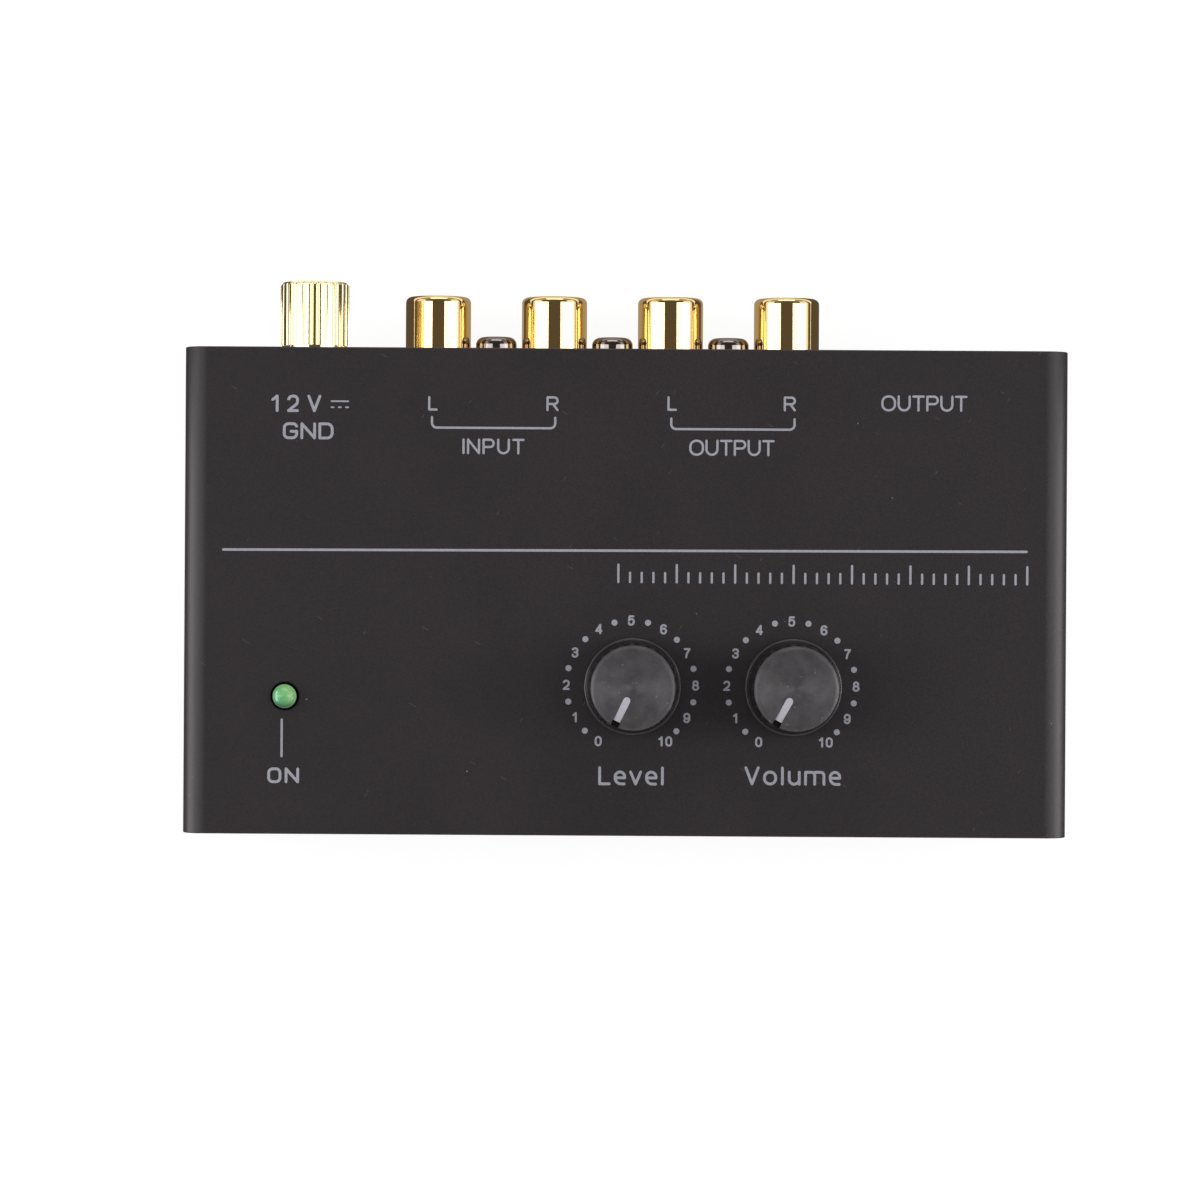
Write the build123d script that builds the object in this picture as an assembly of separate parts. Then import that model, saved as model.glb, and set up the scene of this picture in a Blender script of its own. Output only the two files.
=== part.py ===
"""Desktop phono preamplifier in a folded steel case.

Frame: +X to the right of someone facing the controls, +Y to the rear connectors, +Z up.
The origin is the centre of the bounding box on the resting plane. Millimetres.
"""

import os
from build123d import *

# ---- case ------------------------------------------------------------------
CASE_WIDTH = 110.0
CASE_DEPTH = 60.5
CASE_HEIGHT = 28.0
SHEET = 1.0  # steel thickness of the cover and the tray
COVER_BEND = 3.0  # outer radius of the cover's two long bends
TRAY_BEND = 1.6  # outer radius of the tray's bends
PANEL_RECESS = 0.6  # the front and rear panels stand this far inside the cover's edges
COVER_GAP = 0.15  # between the cover and the tray
PANEL_CORNER = 2.5  # top corners of both panels, clear of the cover's bends
EAR_LENGTH = 9.0  # tabs folded in from the panels, which take the side screws
EAR_MARGIN = 1.5  # from an ear to the tray's floor and to the panel's top edge
EAR_COLLAR_RADIUS = 2.5  # drawn collar that holds the side screw's thread
EAR_COLLAR_HEIGHT = 1.2

# ---- feet and screws -------------------------------------------------------
FOOT_HEIGHT = 2.0
FOOT_RADIUS = 4.5
FOOT_EDGE = 0.5
FOOT_INSET = 9.0  # from the case's sides and ends to the foot's centre
SCREW_RADIUS = 1.5  # M3
SCREW_CLEARANCE = 0.05
SIDE_SCREW_HEIGHT = 14.0  # above the case's underside
SIDE_SCREW_LENGTH = 5.0
SIDE_SCREW_HEAD_RADIUS = 2.6
SIDE_SCREW_HEAD_HEIGHT = 1.1
PAN_HEAD_RADIUS = 2.6
PAN_HEAD_HEIGHT = 2.9
PAN_HEAD_EDGE = 1.0
RECESS_LENGTH = 2.6  # cross recess in every screw head
RECESS_WIDTH = 0.6
RECESS_DEPTH = 0.8

# ---- circuit board ---------------------------------------------------------
STANDOFF_HEIGHT = 2.5
STANDOFF_RADIUS = 2.5
STANDOFF_SIDE_INSET = 3.75  # from the board's sides to the standoff's centre
STANDOFF_INSET = 8.0  # from the front and rear panels to the standoff's centre
BOARD_THICKNESS = 1.6
BOARD_GAP = 0.6  # from the board's edge to the tray
BOARD_SCREW_LENGTH = 3.6
LEAD_RADIUS = 0.3
LEAD_HOLE = 0.4
LEAD_TAIL = 1.2  # trimmed lead length under the board
LEAD_BEND = 0.6

# ---- rotary controls -------------------------------------------------------
LEVEL_SHARE = 0.0086  # from the case's centre, as a share of its width
CONTROL_PITCH = 19.92
CONTROL_INSET = 18.57  # from the case's front edge to the shafts
LEVEL_REST = 244.0  # each pointer's direction at zero, from +X
VOLUME_REST = 241.0
SHAFT_RADIUS = 3.0
SHAFT_FLAT = 1.5  # from the axis to the flat
SHAFT_HOLE_GAP = 0.7  # round the shaft in the cover
KNOB_GAP = 0.5  # between the cover and the knob
KNOB_HEIGHT = 10.0
KNOB_TOP_RADIUS = 5.2
KNOB_TAPER = 0.4  # how much wider the knob's side is at its foot
KNOB_FLANGE = 0.4  # how far the base stands out from the side
KNOB_BASE_HEIGHT = 0.9
KNOB_BASE_EDGE = 0.3
KNOB_EDGE = 0.4
KNOB_DISH = 0.3
KNOB_BORE_DEPTH = 8.0
KNOB_HOLLOW_DEPTH = 6.0
KNOB_BOSS_WALL = 1.0  # round the bore
KNOB_WALL = 0.5  # thinnest part of the side
KNOB_BORE_GAP = 0.03
POINTER_START = 1.3
POINTER_INSET = 0.68  # from the pointer's end to the knob's edge
POINTER_WIDTH = 0.9
POINTER_THICKNESS = 0.3
POINTER_GAP = 0.02
POT_WIDTH = 11.6
POT_BODY_HEIGHT = 7.0
POT_ROOF = 1.5
POT_WALL = 0.8
WAFER_THICKNESS = 1.0
BUSHING_WALL = 0.55
BUSHING_HEIGHT = 4.5
BUSHING_PLATE = 0.6
SHAFT_RUNNING_GAP = 0.05
ROTOR_GAP = 0.5  # round the rotor in its cavity
ROTOR_END_GAP = 0.1  # under the housing's roof
ROTOR_LIFT = 1.6  # from the wafer to the rotor
WIPER_THICKNESS = 0.3
WIPER_WIDTH = 2.5
WIPER_FINGER_WIDTH = 1.0
WIPER_GAP = 0.1
WIPER_TRACK = 3.4  # radius of the contact track
TERMINAL_PITCH = 2.5
TERMINAL_WIDTH = 0.8
TERMINAL_HOLE_GAP = 0.1
TERMINAL_COUNT = 3
TERMINAL_ROW = 4.4  # two rows, one for each gang, this far from the axis

# ---- power light -----------------------------------------------------------
LIGHT_SIDE_INSET = 12.79  # from the case's left side
LIGHT_INSET = 17.11  # from the case's front edge
LIGHT_RADIUS = 1.5
LIGHT_HOLE_GAP = 0.15
LIGHT_RISE = 1.9  # tip above the cover
LIGHT_BODY_HEIGHT = 4.3
LIGHT_FLANGE = 0.4  # how far the flange stands out from the lens
LIGHT_FLANGE_HEIGHT = 1.0
LIGHT_LEAD_PITCH = 2.54
LIGHT_SPACER_WALL = 0.6  # outside the lead holes

# ---- phono sockets ---------------------------------------------------------
PHONO_PITCH_SHARE = 0.1345  # of the case's width
BLOCK_PLACE = 0.623  # of the room left over between the inlet and the jack, on the left
PHONO_NAMES = ("input_left", "input_right", "output_left", "output_right")
PHONO_ABOVE_BOARD = 7.3
BARREL_RADIUS = 4.15
BARREL_WALL = 0.4
BARREL_REACH = 7.85  # beyond the rear panel
BARREL_EDGE = 0.35
BARREL_ROOT = 5.0  # seated length in the socket block
BARREL_SHOULDER = 0.25  # how much narrower the seated length is
BARREL_SHOULDER_PROUD = 0.3  # from the rear panel to the shoulder
BARREL_HOLE_GAP = 0.35  # round the barrel in the rear panel
BLOCK_DEPTH = 9.0
BLOCK_WALL = 2.0  # beside the end sockets' seats
BLOCK_ROOF = 2.1  # above the sockets' seats
SEAT_GAP = 0.05
INSULATOR_RECESS = 0.5
INSULATOR_MOUTH_GAP = 0.15  # round the plug's pin, in front of the contact
INSULATOR_LIP = 1.0
CONTACT_BORE = 1.6  # takes a 3.2 mm plug pin
CONTACT_WALL = 0.45
CONTACT_LENGTH = 9.0
CONTACT_SLIT = 0.4
CONTACT_FLOOR = 0.8
CONTACT_TAIL = 0.8
GROUND_TAB_WIDTH = 2.4
GROUND_TAB_THICKNESS = 0.5
GROUND_TAB_SETBACK = 1.5  # from the rear panel
BLOCK_SCREW_LENGTH = 7.0

# ---- quarter inch output jack ----------------------------------------------
JACK_INSET = 17.8  # from the case's right side to the jack's axis
JACK_ABOVE_BOARD = 8.0
JACK_WIDTH = 16.0
JACK_HEIGHT = 15.0
JACK_DEPTH = 31.0  # holds the whole plug
JACK_WALL = 1.5
JACK_FRONT_WALL = 4.0
JACK_BORE = 3.25  # takes a 6.35 mm plug
JACK_NOSE_RADIUS = 5.7
JACK_NOSE_PROUD = 0.4  # beyond the rear panel
JACK_HOLE_GAP = 0.2
JACK_SPRING_WIDTH = 3.0
JACK_SPRING_THICKNESS = 0.4
JACK_SPRING_GAP = 0.65  # from the bore's wall to a blade
JACK_SPRING_ABOVE_AXIS = 2.0
JACK_SPRING_BUMP_GAP = 0.15  # from the bore's wall to a blade's bump
JACK_SPRING_BUMP_LENGTH = 2.0
JACK_SPRING_SETBACKS = {"sleeve": 5.5, "ring": 12.0, "tip": 19.0}
JACK_SPRING_SIDES = {"sleeve": 1, "ring": -1, "tip": 1}

# ---- power inlet -----------------------------------------------------------
POWER_INSET = 15.85  # from the case's left side to the inlet's axis
POWER_ABOVE_BOARD = 6.5
POWER_BORE = 3.1
POWER_BORE_DEPTH = 9.5
POWER_WALL = 1.4
POWER_FLOOR = 4.0  # behind the bore
POWER_HOLE_GAP = 0.9  # round the bore in the rear panel
POWER_PIN = 1.05  # fits a 2.1 mm plug
POWER_PIN_SETBACK = 0.7  # from the bore's mouth
POWER_PIN_SHOULDER = 0.25  # how much narrower the pin's root is
POWER_PIN_TIP = 0.3
POWER_TAIL = 0.8
POWER_SPRING_THICKNESS = 0.4
POWER_SPRING_WIDTH = 2.0

# ---- ground terminal -------------------------------------------------------
STUD_RADIUS = 2.0  # M4
STUD_INSIDE = 6.0
STUD_TIP = 0.4
THREAD_GAP = 0.05
COLLAR_RADIUS = 3.6
COLLAR_THICKNESS = 0.5
CLAMP_WASHER_RADIUS = 4.0
CLAMP_WASHER_THICKNESS = 0.5
NUT_RADIUS = 4.3
NUT_LENGTH = 7.95
NUT_CAP = 1.6  # closed outer end of the nut
NUT_EDGE = 0.4
STUD_END_GAP = 0.4  # from the stud's tip to the nut's cap
RIB_COUNT = 29
RIB_GROOVE_RADIUS = 0.26
LUG_RADIUS = 3.8
LUG_THICKNESS = 0.5
LUG_TAIL_LENGTH = 8.0
LUG_TAIL_WIDTH = 2.4
LOCK_NUT_FLATS = 7.0
LOCK_NUT_THICKNESS = 2.4
WIRE_RADIUS = 0.65
WIRE_FORWARD = 4.0  # from the lug to the wire's drop
WIRE_BEND = 2.4

# ---- board components: x as a share of the board's half width, y as a share of the
# ---- inside depth ahead of the rear panel
CHIP_PLACES = ((-0.268, 0.39), (0.138, 0.39))
CHIP_SIZE = (9.4, 6.4, 3.3)
CHIP_LIFT = 0.5
CHIP_ROW = 3.81  # from the chip's centre line to each row of legs
CHIP_PITCH = 2.54
CHIP_LEG = 0.5
CAN_PLACES = (  # x, y, radius, height
    (-0.66, 0.425, 4.0, 11.5),
    (-0.66, 0.6, 4.0, 11.5),
    (-0.525, 0.72, 3.15, 11.0),
    (0.32, 0.33, 2.5, 7.0),
    (0.454, 0.33, 2.5, 7.0),
    (0.32, 0.445, 2.5, 7.0),
    (0.454, 0.445, 2.5, 7.0),
)
CAN_LEAD_SHARE = 0.45  # lead offset as a share of the can's radius
CAN_EDGE = 0.4
FILM_PLACES = ((-0.47, 0.335), (-0.47, 0.435), (-0.065, 0.335), (-0.065, 0.435))
FILM_SIZE = (7.2, 2.5, 6.5)
FILM_LEAD = 2.5
RESISTOR_INSET = 7.45  # from the case's front edge to the row's middle
RESISTOR_START = -0.61  # the first resistor's place, as a share of the board's half width
RESISTOR_PITCH = 4.0
RESISTOR_COUNT = 12
RESISTOR_RADIUS = 1.15
RESISTOR_LENGTH = 6.3
RESISTOR_LEAD_PITCH = 8.0
AXIAL_LIFT = 0.1  # from the board to a lying component
AXIAL_EDGE = 0.35
DISC_PLACES = ((-0.38, 0.64), (-0.265, 0.64), (0.65, 0.64), (0.765, 0.64))
DISC_RADIUS = 2.5
DISC_THICKNESS = 1.8
DISC_LIFT = 0.5
DISC_EDGE = 0.5
DISC_LEAD = 1.27
DIODE_PLACE = (-0.842, 0.566)
DIODE_RADIUS = 1.35
DIODE_LENGTH = 5.2
DIODE_LEAD_PITCH = 7.6
REGULATOR_PLACE = (-0.842, 0.425)
REGULATOR_SIZE = (4.6, 3.6, 4.8)
REGULATOR_ROUND = 1.4
REGULATOR_LIFT = 1.0
REGULATOR_LEAD_PITCH = 1.27

# ---- derived levels --------------------------------------------------------
CASE_BOTTOM = FOOT_HEIGHT
CASE_TOP = CASE_BOTTOM + CASE_HEIGHT
FLOOR_TOP = CASE_BOTTOM + SHEET
COVER_UNDER = CASE_TOP - SHEET
PANEL_TOP = COVER_UNDER - COVER_GAP
BOARD_BOTTOM = FLOOR_TOP + STANDOFF_HEIGHT
BOARD_TOP = BOARD_BOTTOM + BOARD_THICKNESS
LEAD_END = BOARD_BOTTOM - LEAD_TAIL
PHONO_Z = BOARD_TOP + PHONO_ABOVE_BOARD
JACK_Z = BOARD_TOP + JACK_ABOVE_BOARD
POWER_Z = BOARD_TOP + POWER_ABOVE_BOARD
INLET_TOP = POWER_Z + POWER_BORE + POWER_WALL
GROUND_Z = (INLET_TOP + COVER_UNDER) / 2
KNOB_BOTTOM = CASE_TOP + KNOB_GAP
KNOB_TOP = KNOB_BOTTOM + KNOB_HEIGHT
WAFER_TOP = BOARD_TOP + WAFER_THICKNESS
POT_TOP = WAFER_TOP + POT_BODY_HEIGHT
LIGHT_TIP = CASE_TOP + LIGHT_RISE
LIGHT_FOOT = LIGHT_TIP - LIGHT_BODY_HEIGHT - LIGHT_FLANGE_HEIGHT

# ---- derived places along Y ------------------------------------------------
GROUND_REACH = COLLAR_THICKNESS + CLAMP_WASHER_THICKNESS + NUT_LENGTH
REAR_REACH = max(GROUND_REACH, BARREL_REACH) - PANEL_RECESS  # beyond the case
CASE_Y = -REAR_REACH / 2
CASE_FRONT = CASE_Y - CASE_DEPTH / 2
CASE_REAR = CASE_Y + CASE_DEPTH / 2
REAR_FACE = CASE_REAR - PANEL_RECESS
REAR_INSIDE = REAR_FACE - SHEET
FRONT_FACE = CASE_FRONT + PANEL_RECESS
FRONT_INSIDE = FRONT_FACE + SHEET
CLAMP_FACE = REAR_FACE + COLLAR_THICKNESS
NUT_FRONT = CLAMP_FACE + CLAMP_WASHER_THICKNESS
BARREL_END = REAR_FACE + BARREL_REACH
BARREL_FOOT = REAR_INSIDE - BARREL_ROOT
SHOULDER_Y = REAR_FACE + BARREL_SHOULDER_PROUD
CONTACT_END = BARREL_END - INSULATOR_RECESS - INSULATOR_LIP
CONTACT_FOOT = CONTACT_END - CONTACT_LENGTH
BLOCK_FRONT = REAR_INSIDE - BLOCK_DEPTH
TAIL_Y = BLOCK_FRONT - CONTACT_TAIL / 2 - SEAT_GAP
POWER_BORE_FLOOR = REAR_INSIDE - POWER_BORE_DEPTH
POWER_FRONT = POWER_BORE_FLOOR - POWER_FLOOR

# ---- derived places along X ------------------------------------------------
TRAY_HALF = CASE_WIDTH / 2 - SHEET - COVER_GAP
EAR_INSIDE = TRAY_HALF - SHEET
BOARD_HALF = EAR_INSIDE - BOARD_GAP
POWER_X = POWER_INSET - CASE_WIDTH / 2
JACK_X = CASE_WIDTH / 2 - JACK_INSET
PHONO_PITCH = PHONO_PITCH_SHARE * CASE_WIDTH
BLOCK_SIDE = BARREL_RADIUS - BARREL_SHOULDER + BLOCK_WALL  # from an end socket to the block's end
BLOCK_WIDTH = (len(PHONO_NAMES) - 1) * PHONO_PITCH + 2 * BLOCK_SIDE
INLET_SIDE = POWER_X + POWER_BORE + POWER_WALL
JACK_SIDE = JACK_X - JACK_WIDTH / 2
BLOCK_LEFT = INLET_SIDE + BLOCK_PLACE * (JACK_SIDE - INLET_SIDE - BLOCK_WIDTH)
PHONO_X = [BLOCK_LEFT + BLOCK_SIDE + PHONO_PITCH * place for place in range(len(PHONO_NAMES))]
BLOCK_SCREW_X = [(near + far) / 2 for near, far in zip(PHONO_X, PHONO_X[1:])]
LEVEL_X = LEVEL_SHARE * CASE_WIDTH
CONTROLS = {
    "level": (LEVEL_X, CASE_FRONT + CONTROL_INSET),
    "volume": (LEVEL_X + CONTROL_PITCH, CASE_FRONT + CONTROL_INSET),
}
REST_ANGLES = {CONTROLS["level"]: LEVEL_REST, CONTROLS["volume"]: VOLUME_REST}
LIGHT_PLACE = (LIGHT_SIDE_INSET - CASE_WIDTH / 2, CASE_FRONT + LIGHT_INSET)
STANDOFF_PLACES = [
    (side * (BOARD_HALF - STANDOFF_SIDE_INSET), y)
    for side in (-1, 1)
    for y in (FRONT_INSIDE + STANDOFF_INSET, REAR_INSIDE - STANDOFF_INSET)
]
EAR_CENTRES = (FRONT_INSIDE + EAR_LENGTH / 2, REAR_INSIDE - EAR_LENGTH / 2)
SIDE_SCREW_Z = CASE_BOTTOM + SIDE_SCREW_HEIGHT

# ---- derived radii -----------------------------------------------------------
KNOB_WAIST_RADIUS = KNOB_TOP_RADIUS + KNOB_TAPER
KNOB_BASE_RADIUS = KNOB_WAIST_RADIUS + KNOB_FLANGE
KNOB_HOLLOW_INNER = SHAFT_RADIUS + KNOB_BORE_GAP + KNOB_BOSS_WALL
KNOB_HOLLOW_OUTER = KNOB_TOP_RADIUS - KNOB_WALL
SHAFT_BORE = SHAFT_RADIUS + SHAFT_RUNNING_GAP
BUSHING_RADIUS = SHAFT_BORE + BUSHING_WALL
POT_CAVITY_RADIUS = POT_WIDTH / 2 - POT_WALL
ROTOR_RADIUS = POT_CAVITY_RADIUS - ROTOR_GAP
LIGHT_FLANGE_RADIUS = LIGHT_RADIUS + LIGHT_FLANGE
LIGHT_SPACER_RADIUS = LIGHT_LEAD_PITCH / 2 + LEAD_HOLE + LIGHT_SPACER_WALL
BARREL_ROOT_RADIUS = BARREL_RADIUS - BARREL_SHOULDER
CONTACT_RADIUS = CONTACT_BORE + CONTACT_WALL
POWER_PIN_ROOT = POWER_PIN - POWER_PIN_SHOULDER
STUD_BORE = STUD_RADIUS + THREAD_GAP

FROM_LOW = (Align.CENTER, Align.CENTER, Align.MIN)
FROM_CORNER = (Align.MIN, Align.MIN, Align.MIN)
OVERCUT = 1.0  # how far a cutting tool runs past the face it cuts


# ---- shape helpers ---------------------------------------------------------
def rod_up(radius, low, high, x=0.0, y=0.0):
    """An upright cylinder between two heights."""
    return Pos(x, y, low) * Cylinder(radius, high - low, align=FROM_LOW)


def rod_back(radius, front, back, x, z):
    """A cylinder that lies along Y between two places."""
    return Pos(x, front, z) * Rot(X=-90) * Cylinder(radius, back - front, align=FROM_LOW)


def rod_right(radius, left, right, y, z):
    """A cylinder that lies along X between two places."""
    return Pos(left, y, z) * Rot(Y=90) * Cylinder(radius, right - left, align=FROM_LOW)


def slab(x, y, z):
    """A box from its low and high places on each axis."""
    size = (x[1] - x[0], y[1] - y[0], z[1] - z[0])
    return Pos(x[0], y[0], z[0]) * Box(*size, align=FROM_CORNER)


def centred(middle, width):
    """The low and high places of a width about a middle."""
    return (middle - width / 2, middle + width / 2)


def cross_recess():
    """The cutter for a cross recess, centred on a head's outer face at z 0, going down."""
    depth = (-RECESS_DEPTH, OVERCUT)
    along = slab(centred(0, RECESS_LENGTH), centred(0, RECESS_WIDTH), depth)
    across = slab(centred(0, RECESS_WIDTH), centred(0, RECESS_LENGTH), depth)
    return along + across


def pan_screw(length):
    """A pan head screw with its seat at z 0 and its head upward."""
    head = Cylinder(PAN_HEAD_RADIUS, PAN_HEAD_HEIGHT, align=FROM_LOW)
    head = fillet(head.edges().group_by(Axis.Z)[-1], PAN_HEAD_EDGE)
    shank = rod_up(SCREW_RADIUS - SCREW_CLEARANCE, -length, 0)
    return head + shank - Pos(0, 0, PAN_HEAD_HEIGHT) * cross_recess()


def group(solids):
    """Separate solids of one node."""
    return Compound(children=list(solids))


# ---- case ------------------------------------------------------------------
def top_cover():
    """Folded cover: the top and both sides in one sheet."""
    outer = slab(centred(0, CASE_WIDTH), (CASE_FRONT, CASE_REAR), (CASE_BOTTOM, CASE_TOP))
    outer = fillet(outer.edges().filter_by(Axis.Y).group_by(Axis.Z)[-1], COVER_BEND)
    inner = slab(
        centred(0, CASE_WIDTH - 2 * SHEET),
        (CASE_FRONT - OVERCUT, CASE_REAR + OVERCUT),
        (CASE_BOTTOM - OVERCUT, COVER_UNDER),
    )
    inner = fillet(inner.edges().filter_by(Axis.Y).group_by(Axis.Z)[-1], COVER_BEND - SHEET)
    cover = outer - inner
    for x, y in CONTROLS.values():
        cover -= rod_up(SHAFT_RADIUS + SHAFT_HOLE_GAP, COVER_UNDER - OVERCUT, KNOB_TOP, x, y)
    light_hole = LIGHT_RADIUS + LIGHT_HOLE_GAP
    cover -= rod_up(light_hole, COVER_UNDER - OVERCUT, KNOB_TOP, *LIGHT_PLACE)
    for side in (-1, 1):
        for y in EAR_CENTRES:
            cover -= side_screw_place(side, y) * countersink()
    return cover


def side_screw_place(side, y):
    """Where a side screw's head lies, with +Z of its own frame pointing out of the case."""
    return Pos(side * CASE_WIDTH / 2, y, SIDE_SCREW_Z) * Rot(Y=90 * side)


def countersink():
    """The cutter for a side screw, with the case's side at z 0."""
    rim = SIDE_SCREW_HEAD_RADIUS + SCREW_CLEARANCE
    throat = SCREW_RADIUS + SCREW_CLEARANCE
    seat = Cone(throat, rim, SIDE_SCREW_HEAD_HEIGHT, align=(Align.CENTER, Align.CENTER, Align.MAX))
    return seat + rod_up(throat, -SIDE_SCREW_LENGTH - OVERCUT, 0) + rod_up(rim, 0, OVERCUT)


def side_screw():
    """A countersunk screw with its head's face at z 0."""
    head = Cone(
        SCREW_RADIUS, SIDE_SCREW_HEAD_RADIUS, SIDE_SCREW_HEAD_HEIGHT,
        align=(Align.CENTER, Align.CENTER, Align.MAX),
    )
    shank = rod_up(SCREW_RADIUS, -SIDE_SCREW_LENGTH, -SIDE_SCREW_HEAD_HEIGHT)
    return head + shank - cross_recess()


def cover_screws():
    """Four countersunk screws, two in each side."""
    return group(side_screw_place(side, y) * side_screw() for side in (-1, 1) for y in EAR_CENTRES)


def tray_shell():
    """The floor and both panels in one sheet, with folded ears for the side screws."""
    width = centred(0, 2 * TRAY_HALF)
    outer = slab(width, (FRONT_FACE, REAR_FACE), (CASE_BOTTOM, PANEL_TOP))
    outer = fillet(outer.edges().filter_by(Axis.X).group_by(Axis.Z)[0], TRAY_BEND)
    inner = slab(
        centred(0, 2 * (TRAY_HALF + OVERCUT)),
        (FRONT_INSIDE, REAR_INSIDE),
        (FLOOR_TOP, PANEL_TOP + OVERCUT),
    )
    inner = fillet(inner.edges().filter_by(Axis.X).group_by(Axis.Z)[0], max(TRAY_BEND - SHEET, 0.1))
    tray = outer - inner
    tray = fillet(tray.edges().filter_by(Axis.Y).group_by(Axis.Z)[-1], PANEL_CORNER)
    for side in (-1, 1):
        wall = sorted((side * EAR_INSIDE, side * TRAY_HALF))
        for y in EAR_CENTRES:
            ear_height = (FLOOR_TOP + EAR_MARGIN, PANEL_TOP - EAR_MARGIN)
            tray += slab(wall, centred(y, EAR_LENGTH), ear_height)
            collar = sorted((side * (EAR_INSIDE - EAR_COLLAR_HEIGHT), side * EAR_INSIDE))
            tray += rod_right(EAR_COLLAR_RADIUS, *collar, y, SIDE_SCREW_Z)
            tray -= side_screw_place(side, y) * countersink()
    return tray


def bottom_tray():
    """The tray with the rear panel's openings."""
    tray = tray_shell()
    through = (REAR_INSIDE - OVERCUT, REAR_FACE + OVERCUT)
    for x in PHONO_X:
        tray -= rod_back(BARREL_RADIUS + BARREL_HOLE_GAP, *through, x, PHONO_Z)
    for x in BLOCK_SCREW_X:
        tray -= rod_back(SCREW_RADIUS + SCREW_CLEARANCE, *through, x, PHONO_Z)
    tray -= rod_back(JACK_NOSE_RADIUS + JACK_HOLE_GAP, *through, JACK_X, JACK_Z)
    tray -= rod_back(POWER_BORE + POWER_HOLE_GAP, *through, POWER_X, POWER_Z)
    tray -= rod_back(STUD_BORE, *through, POWER_X, GROUND_Z)
    return tray


def rubber_feet():
    """Four stick-on feet under the tray."""
    foot = Cylinder(FOOT_RADIUS, FOOT_HEIGHT, align=FROM_LOW)
    foot = fillet(foot.edges().group_by(Axis.Z)[0], FOOT_EDGE)
    return group(
        Pos(side * (CASE_WIDTH / 2 - FOOT_INSET), y, 0) * foot
        for side in (-1, 1)
        for y in (CASE_FRONT + FOOT_INSET, CASE_REAR - FOOT_INSET)
    )


def board_standoffs():
    """Four threaded spacers pressed on the tray's floor."""
    spacer = rod_up(STANDOFF_RADIUS, FLOOR_TOP, BOARD_BOTTOM)
    spacer -= rod_up(SCREW_RADIUS, FLOOR_TOP - OVERCUT, BOARD_BOTTOM + OVERCUT)
    return group(Pos(x, y, 0) * spacer for x, y in STANDOFF_PLACES)


def board_screws():
    """Four pan head screws that hold the board."""
    return group(Pos(x, y, BOARD_TOP) * pan_screw(BOARD_SCREW_LENGTH) for x, y in STANDOFF_PLACES)


# ---- rotary controls: each function takes the control's place ---------------
def pointer_frame(x, y):
    """The knob's frame at rest, with +X along the pointer."""
    return Pos(x, y, 0) * Rot(Z=REST_ANGLES[x, y])


def flatted_rod(radius, flat, low, high):
    """An upright rod with one flat, on the pointer's side of its axis."""
    rod = rod_up(radius, low, high)
    along = (low - OVERCUT, high + OVERCUT)
    return rod - slab((flat, radius + OVERCUT), centred(0, 3 * radius), along)


def knob(x, y):
    """Push-on knob: flared base, tapered side, dished face and a groove for the pointer."""
    waist_low = KNOB_BOTTOM + KNOB_BASE_HEIGHT
    body = rod_up(KNOB_BASE_RADIUS, KNOB_BOTTOM, waist_low)
    body = fillet(body.edges().group_by(Axis.Z)[-1], KNOB_BASE_EDGE)
    taper = Cone(KNOB_WAIST_RADIUS, KNOB_TOP_RADIUS, KNOB_HEIGHT - KNOB_BASE_HEIGHT, align=FROM_LOW)
    taper = fillet(taper.edges().group_by(Axis.Z)[-1], KNOB_EDGE)
    body += Pos(0, 0, waist_low) * taper
    dish_radius = KNOB_TOP_RADIUS - KNOB_EDGE
    ball_radius = (dish_radius**2 + KNOB_DISH**2) / (2 * KNOB_DISH)
    body -= Pos(0, 0, KNOB_TOP - KNOB_DISH + ball_radius) * Sphere(ball_radius)
    groove_floor = KNOB_TOP - KNOB_DISH - POINTER_THICKNESS
    body -= slab(
        (POINTER_START - POINTER_GAP, KNOB_BASE_RADIUS),
        centred(0, POINTER_WIDTH + 2 * POINTER_GAP),
        (groove_floor, KNOB_TOP + OVERCUT),
    )
    hollow = rod_up(KNOB_HOLLOW_OUTER, KNOB_BOTTOM - OVERCUT, KNOB_BOTTOM + KNOB_HOLLOW_DEPTH)
    hollow -= rod_up(KNOB_HOLLOW_INNER, KNOB_BOTTOM - OVERCUT, KNOB_TOP)
    bore = flatted_rod(
        SHAFT_RADIUS + KNOB_BORE_GAP, SHAFT_FLAT + KNOB_BORE_GAP,
        KNOB_BOTTOM - OVERCUT, KNOB_BOTTOM + KNOB_BORE_DEPTH,
    )
    return pointer_frame(x, y) * (body - hollow - bore)


def pointer(x, y):
    """White bar laid in the knob's groove."""
    floor = KNOB_TOP - KNOB_DISH - POINTER_THICKNESS
    height = (floor, floor + POINTER_THICKNESS)
    end = KNOB_TOP_RADIUS - POINTER_INSET
    bar = slab((POINTER_START, end), centred(0, POINTER_WIDTH), height)
    return pointer_frame(x, y) * bar


def control_shaft(x, y):
    """Flatted shaft with the rotor disc at its foot."""
    rotor_low = WAFER_TOP + ROTOR_LIFT
    shaft = rod_up(SHAFT_RADIUS, rotor_low, CASE_TOP)
    shaft += flatted_rod(SHAFT_RADIUS, SHAFT_FLAT, CASE_TOP, KNOB_BOTTOM + KNOB_BORE_DEPTH)
    shaft += rod_up(ROTOR_RADIUS, rotor_low, POT_TOP - POT_ROOF - ROTOR_END_GAP)
    return pointer_frame(x, y) * shaft


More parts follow.
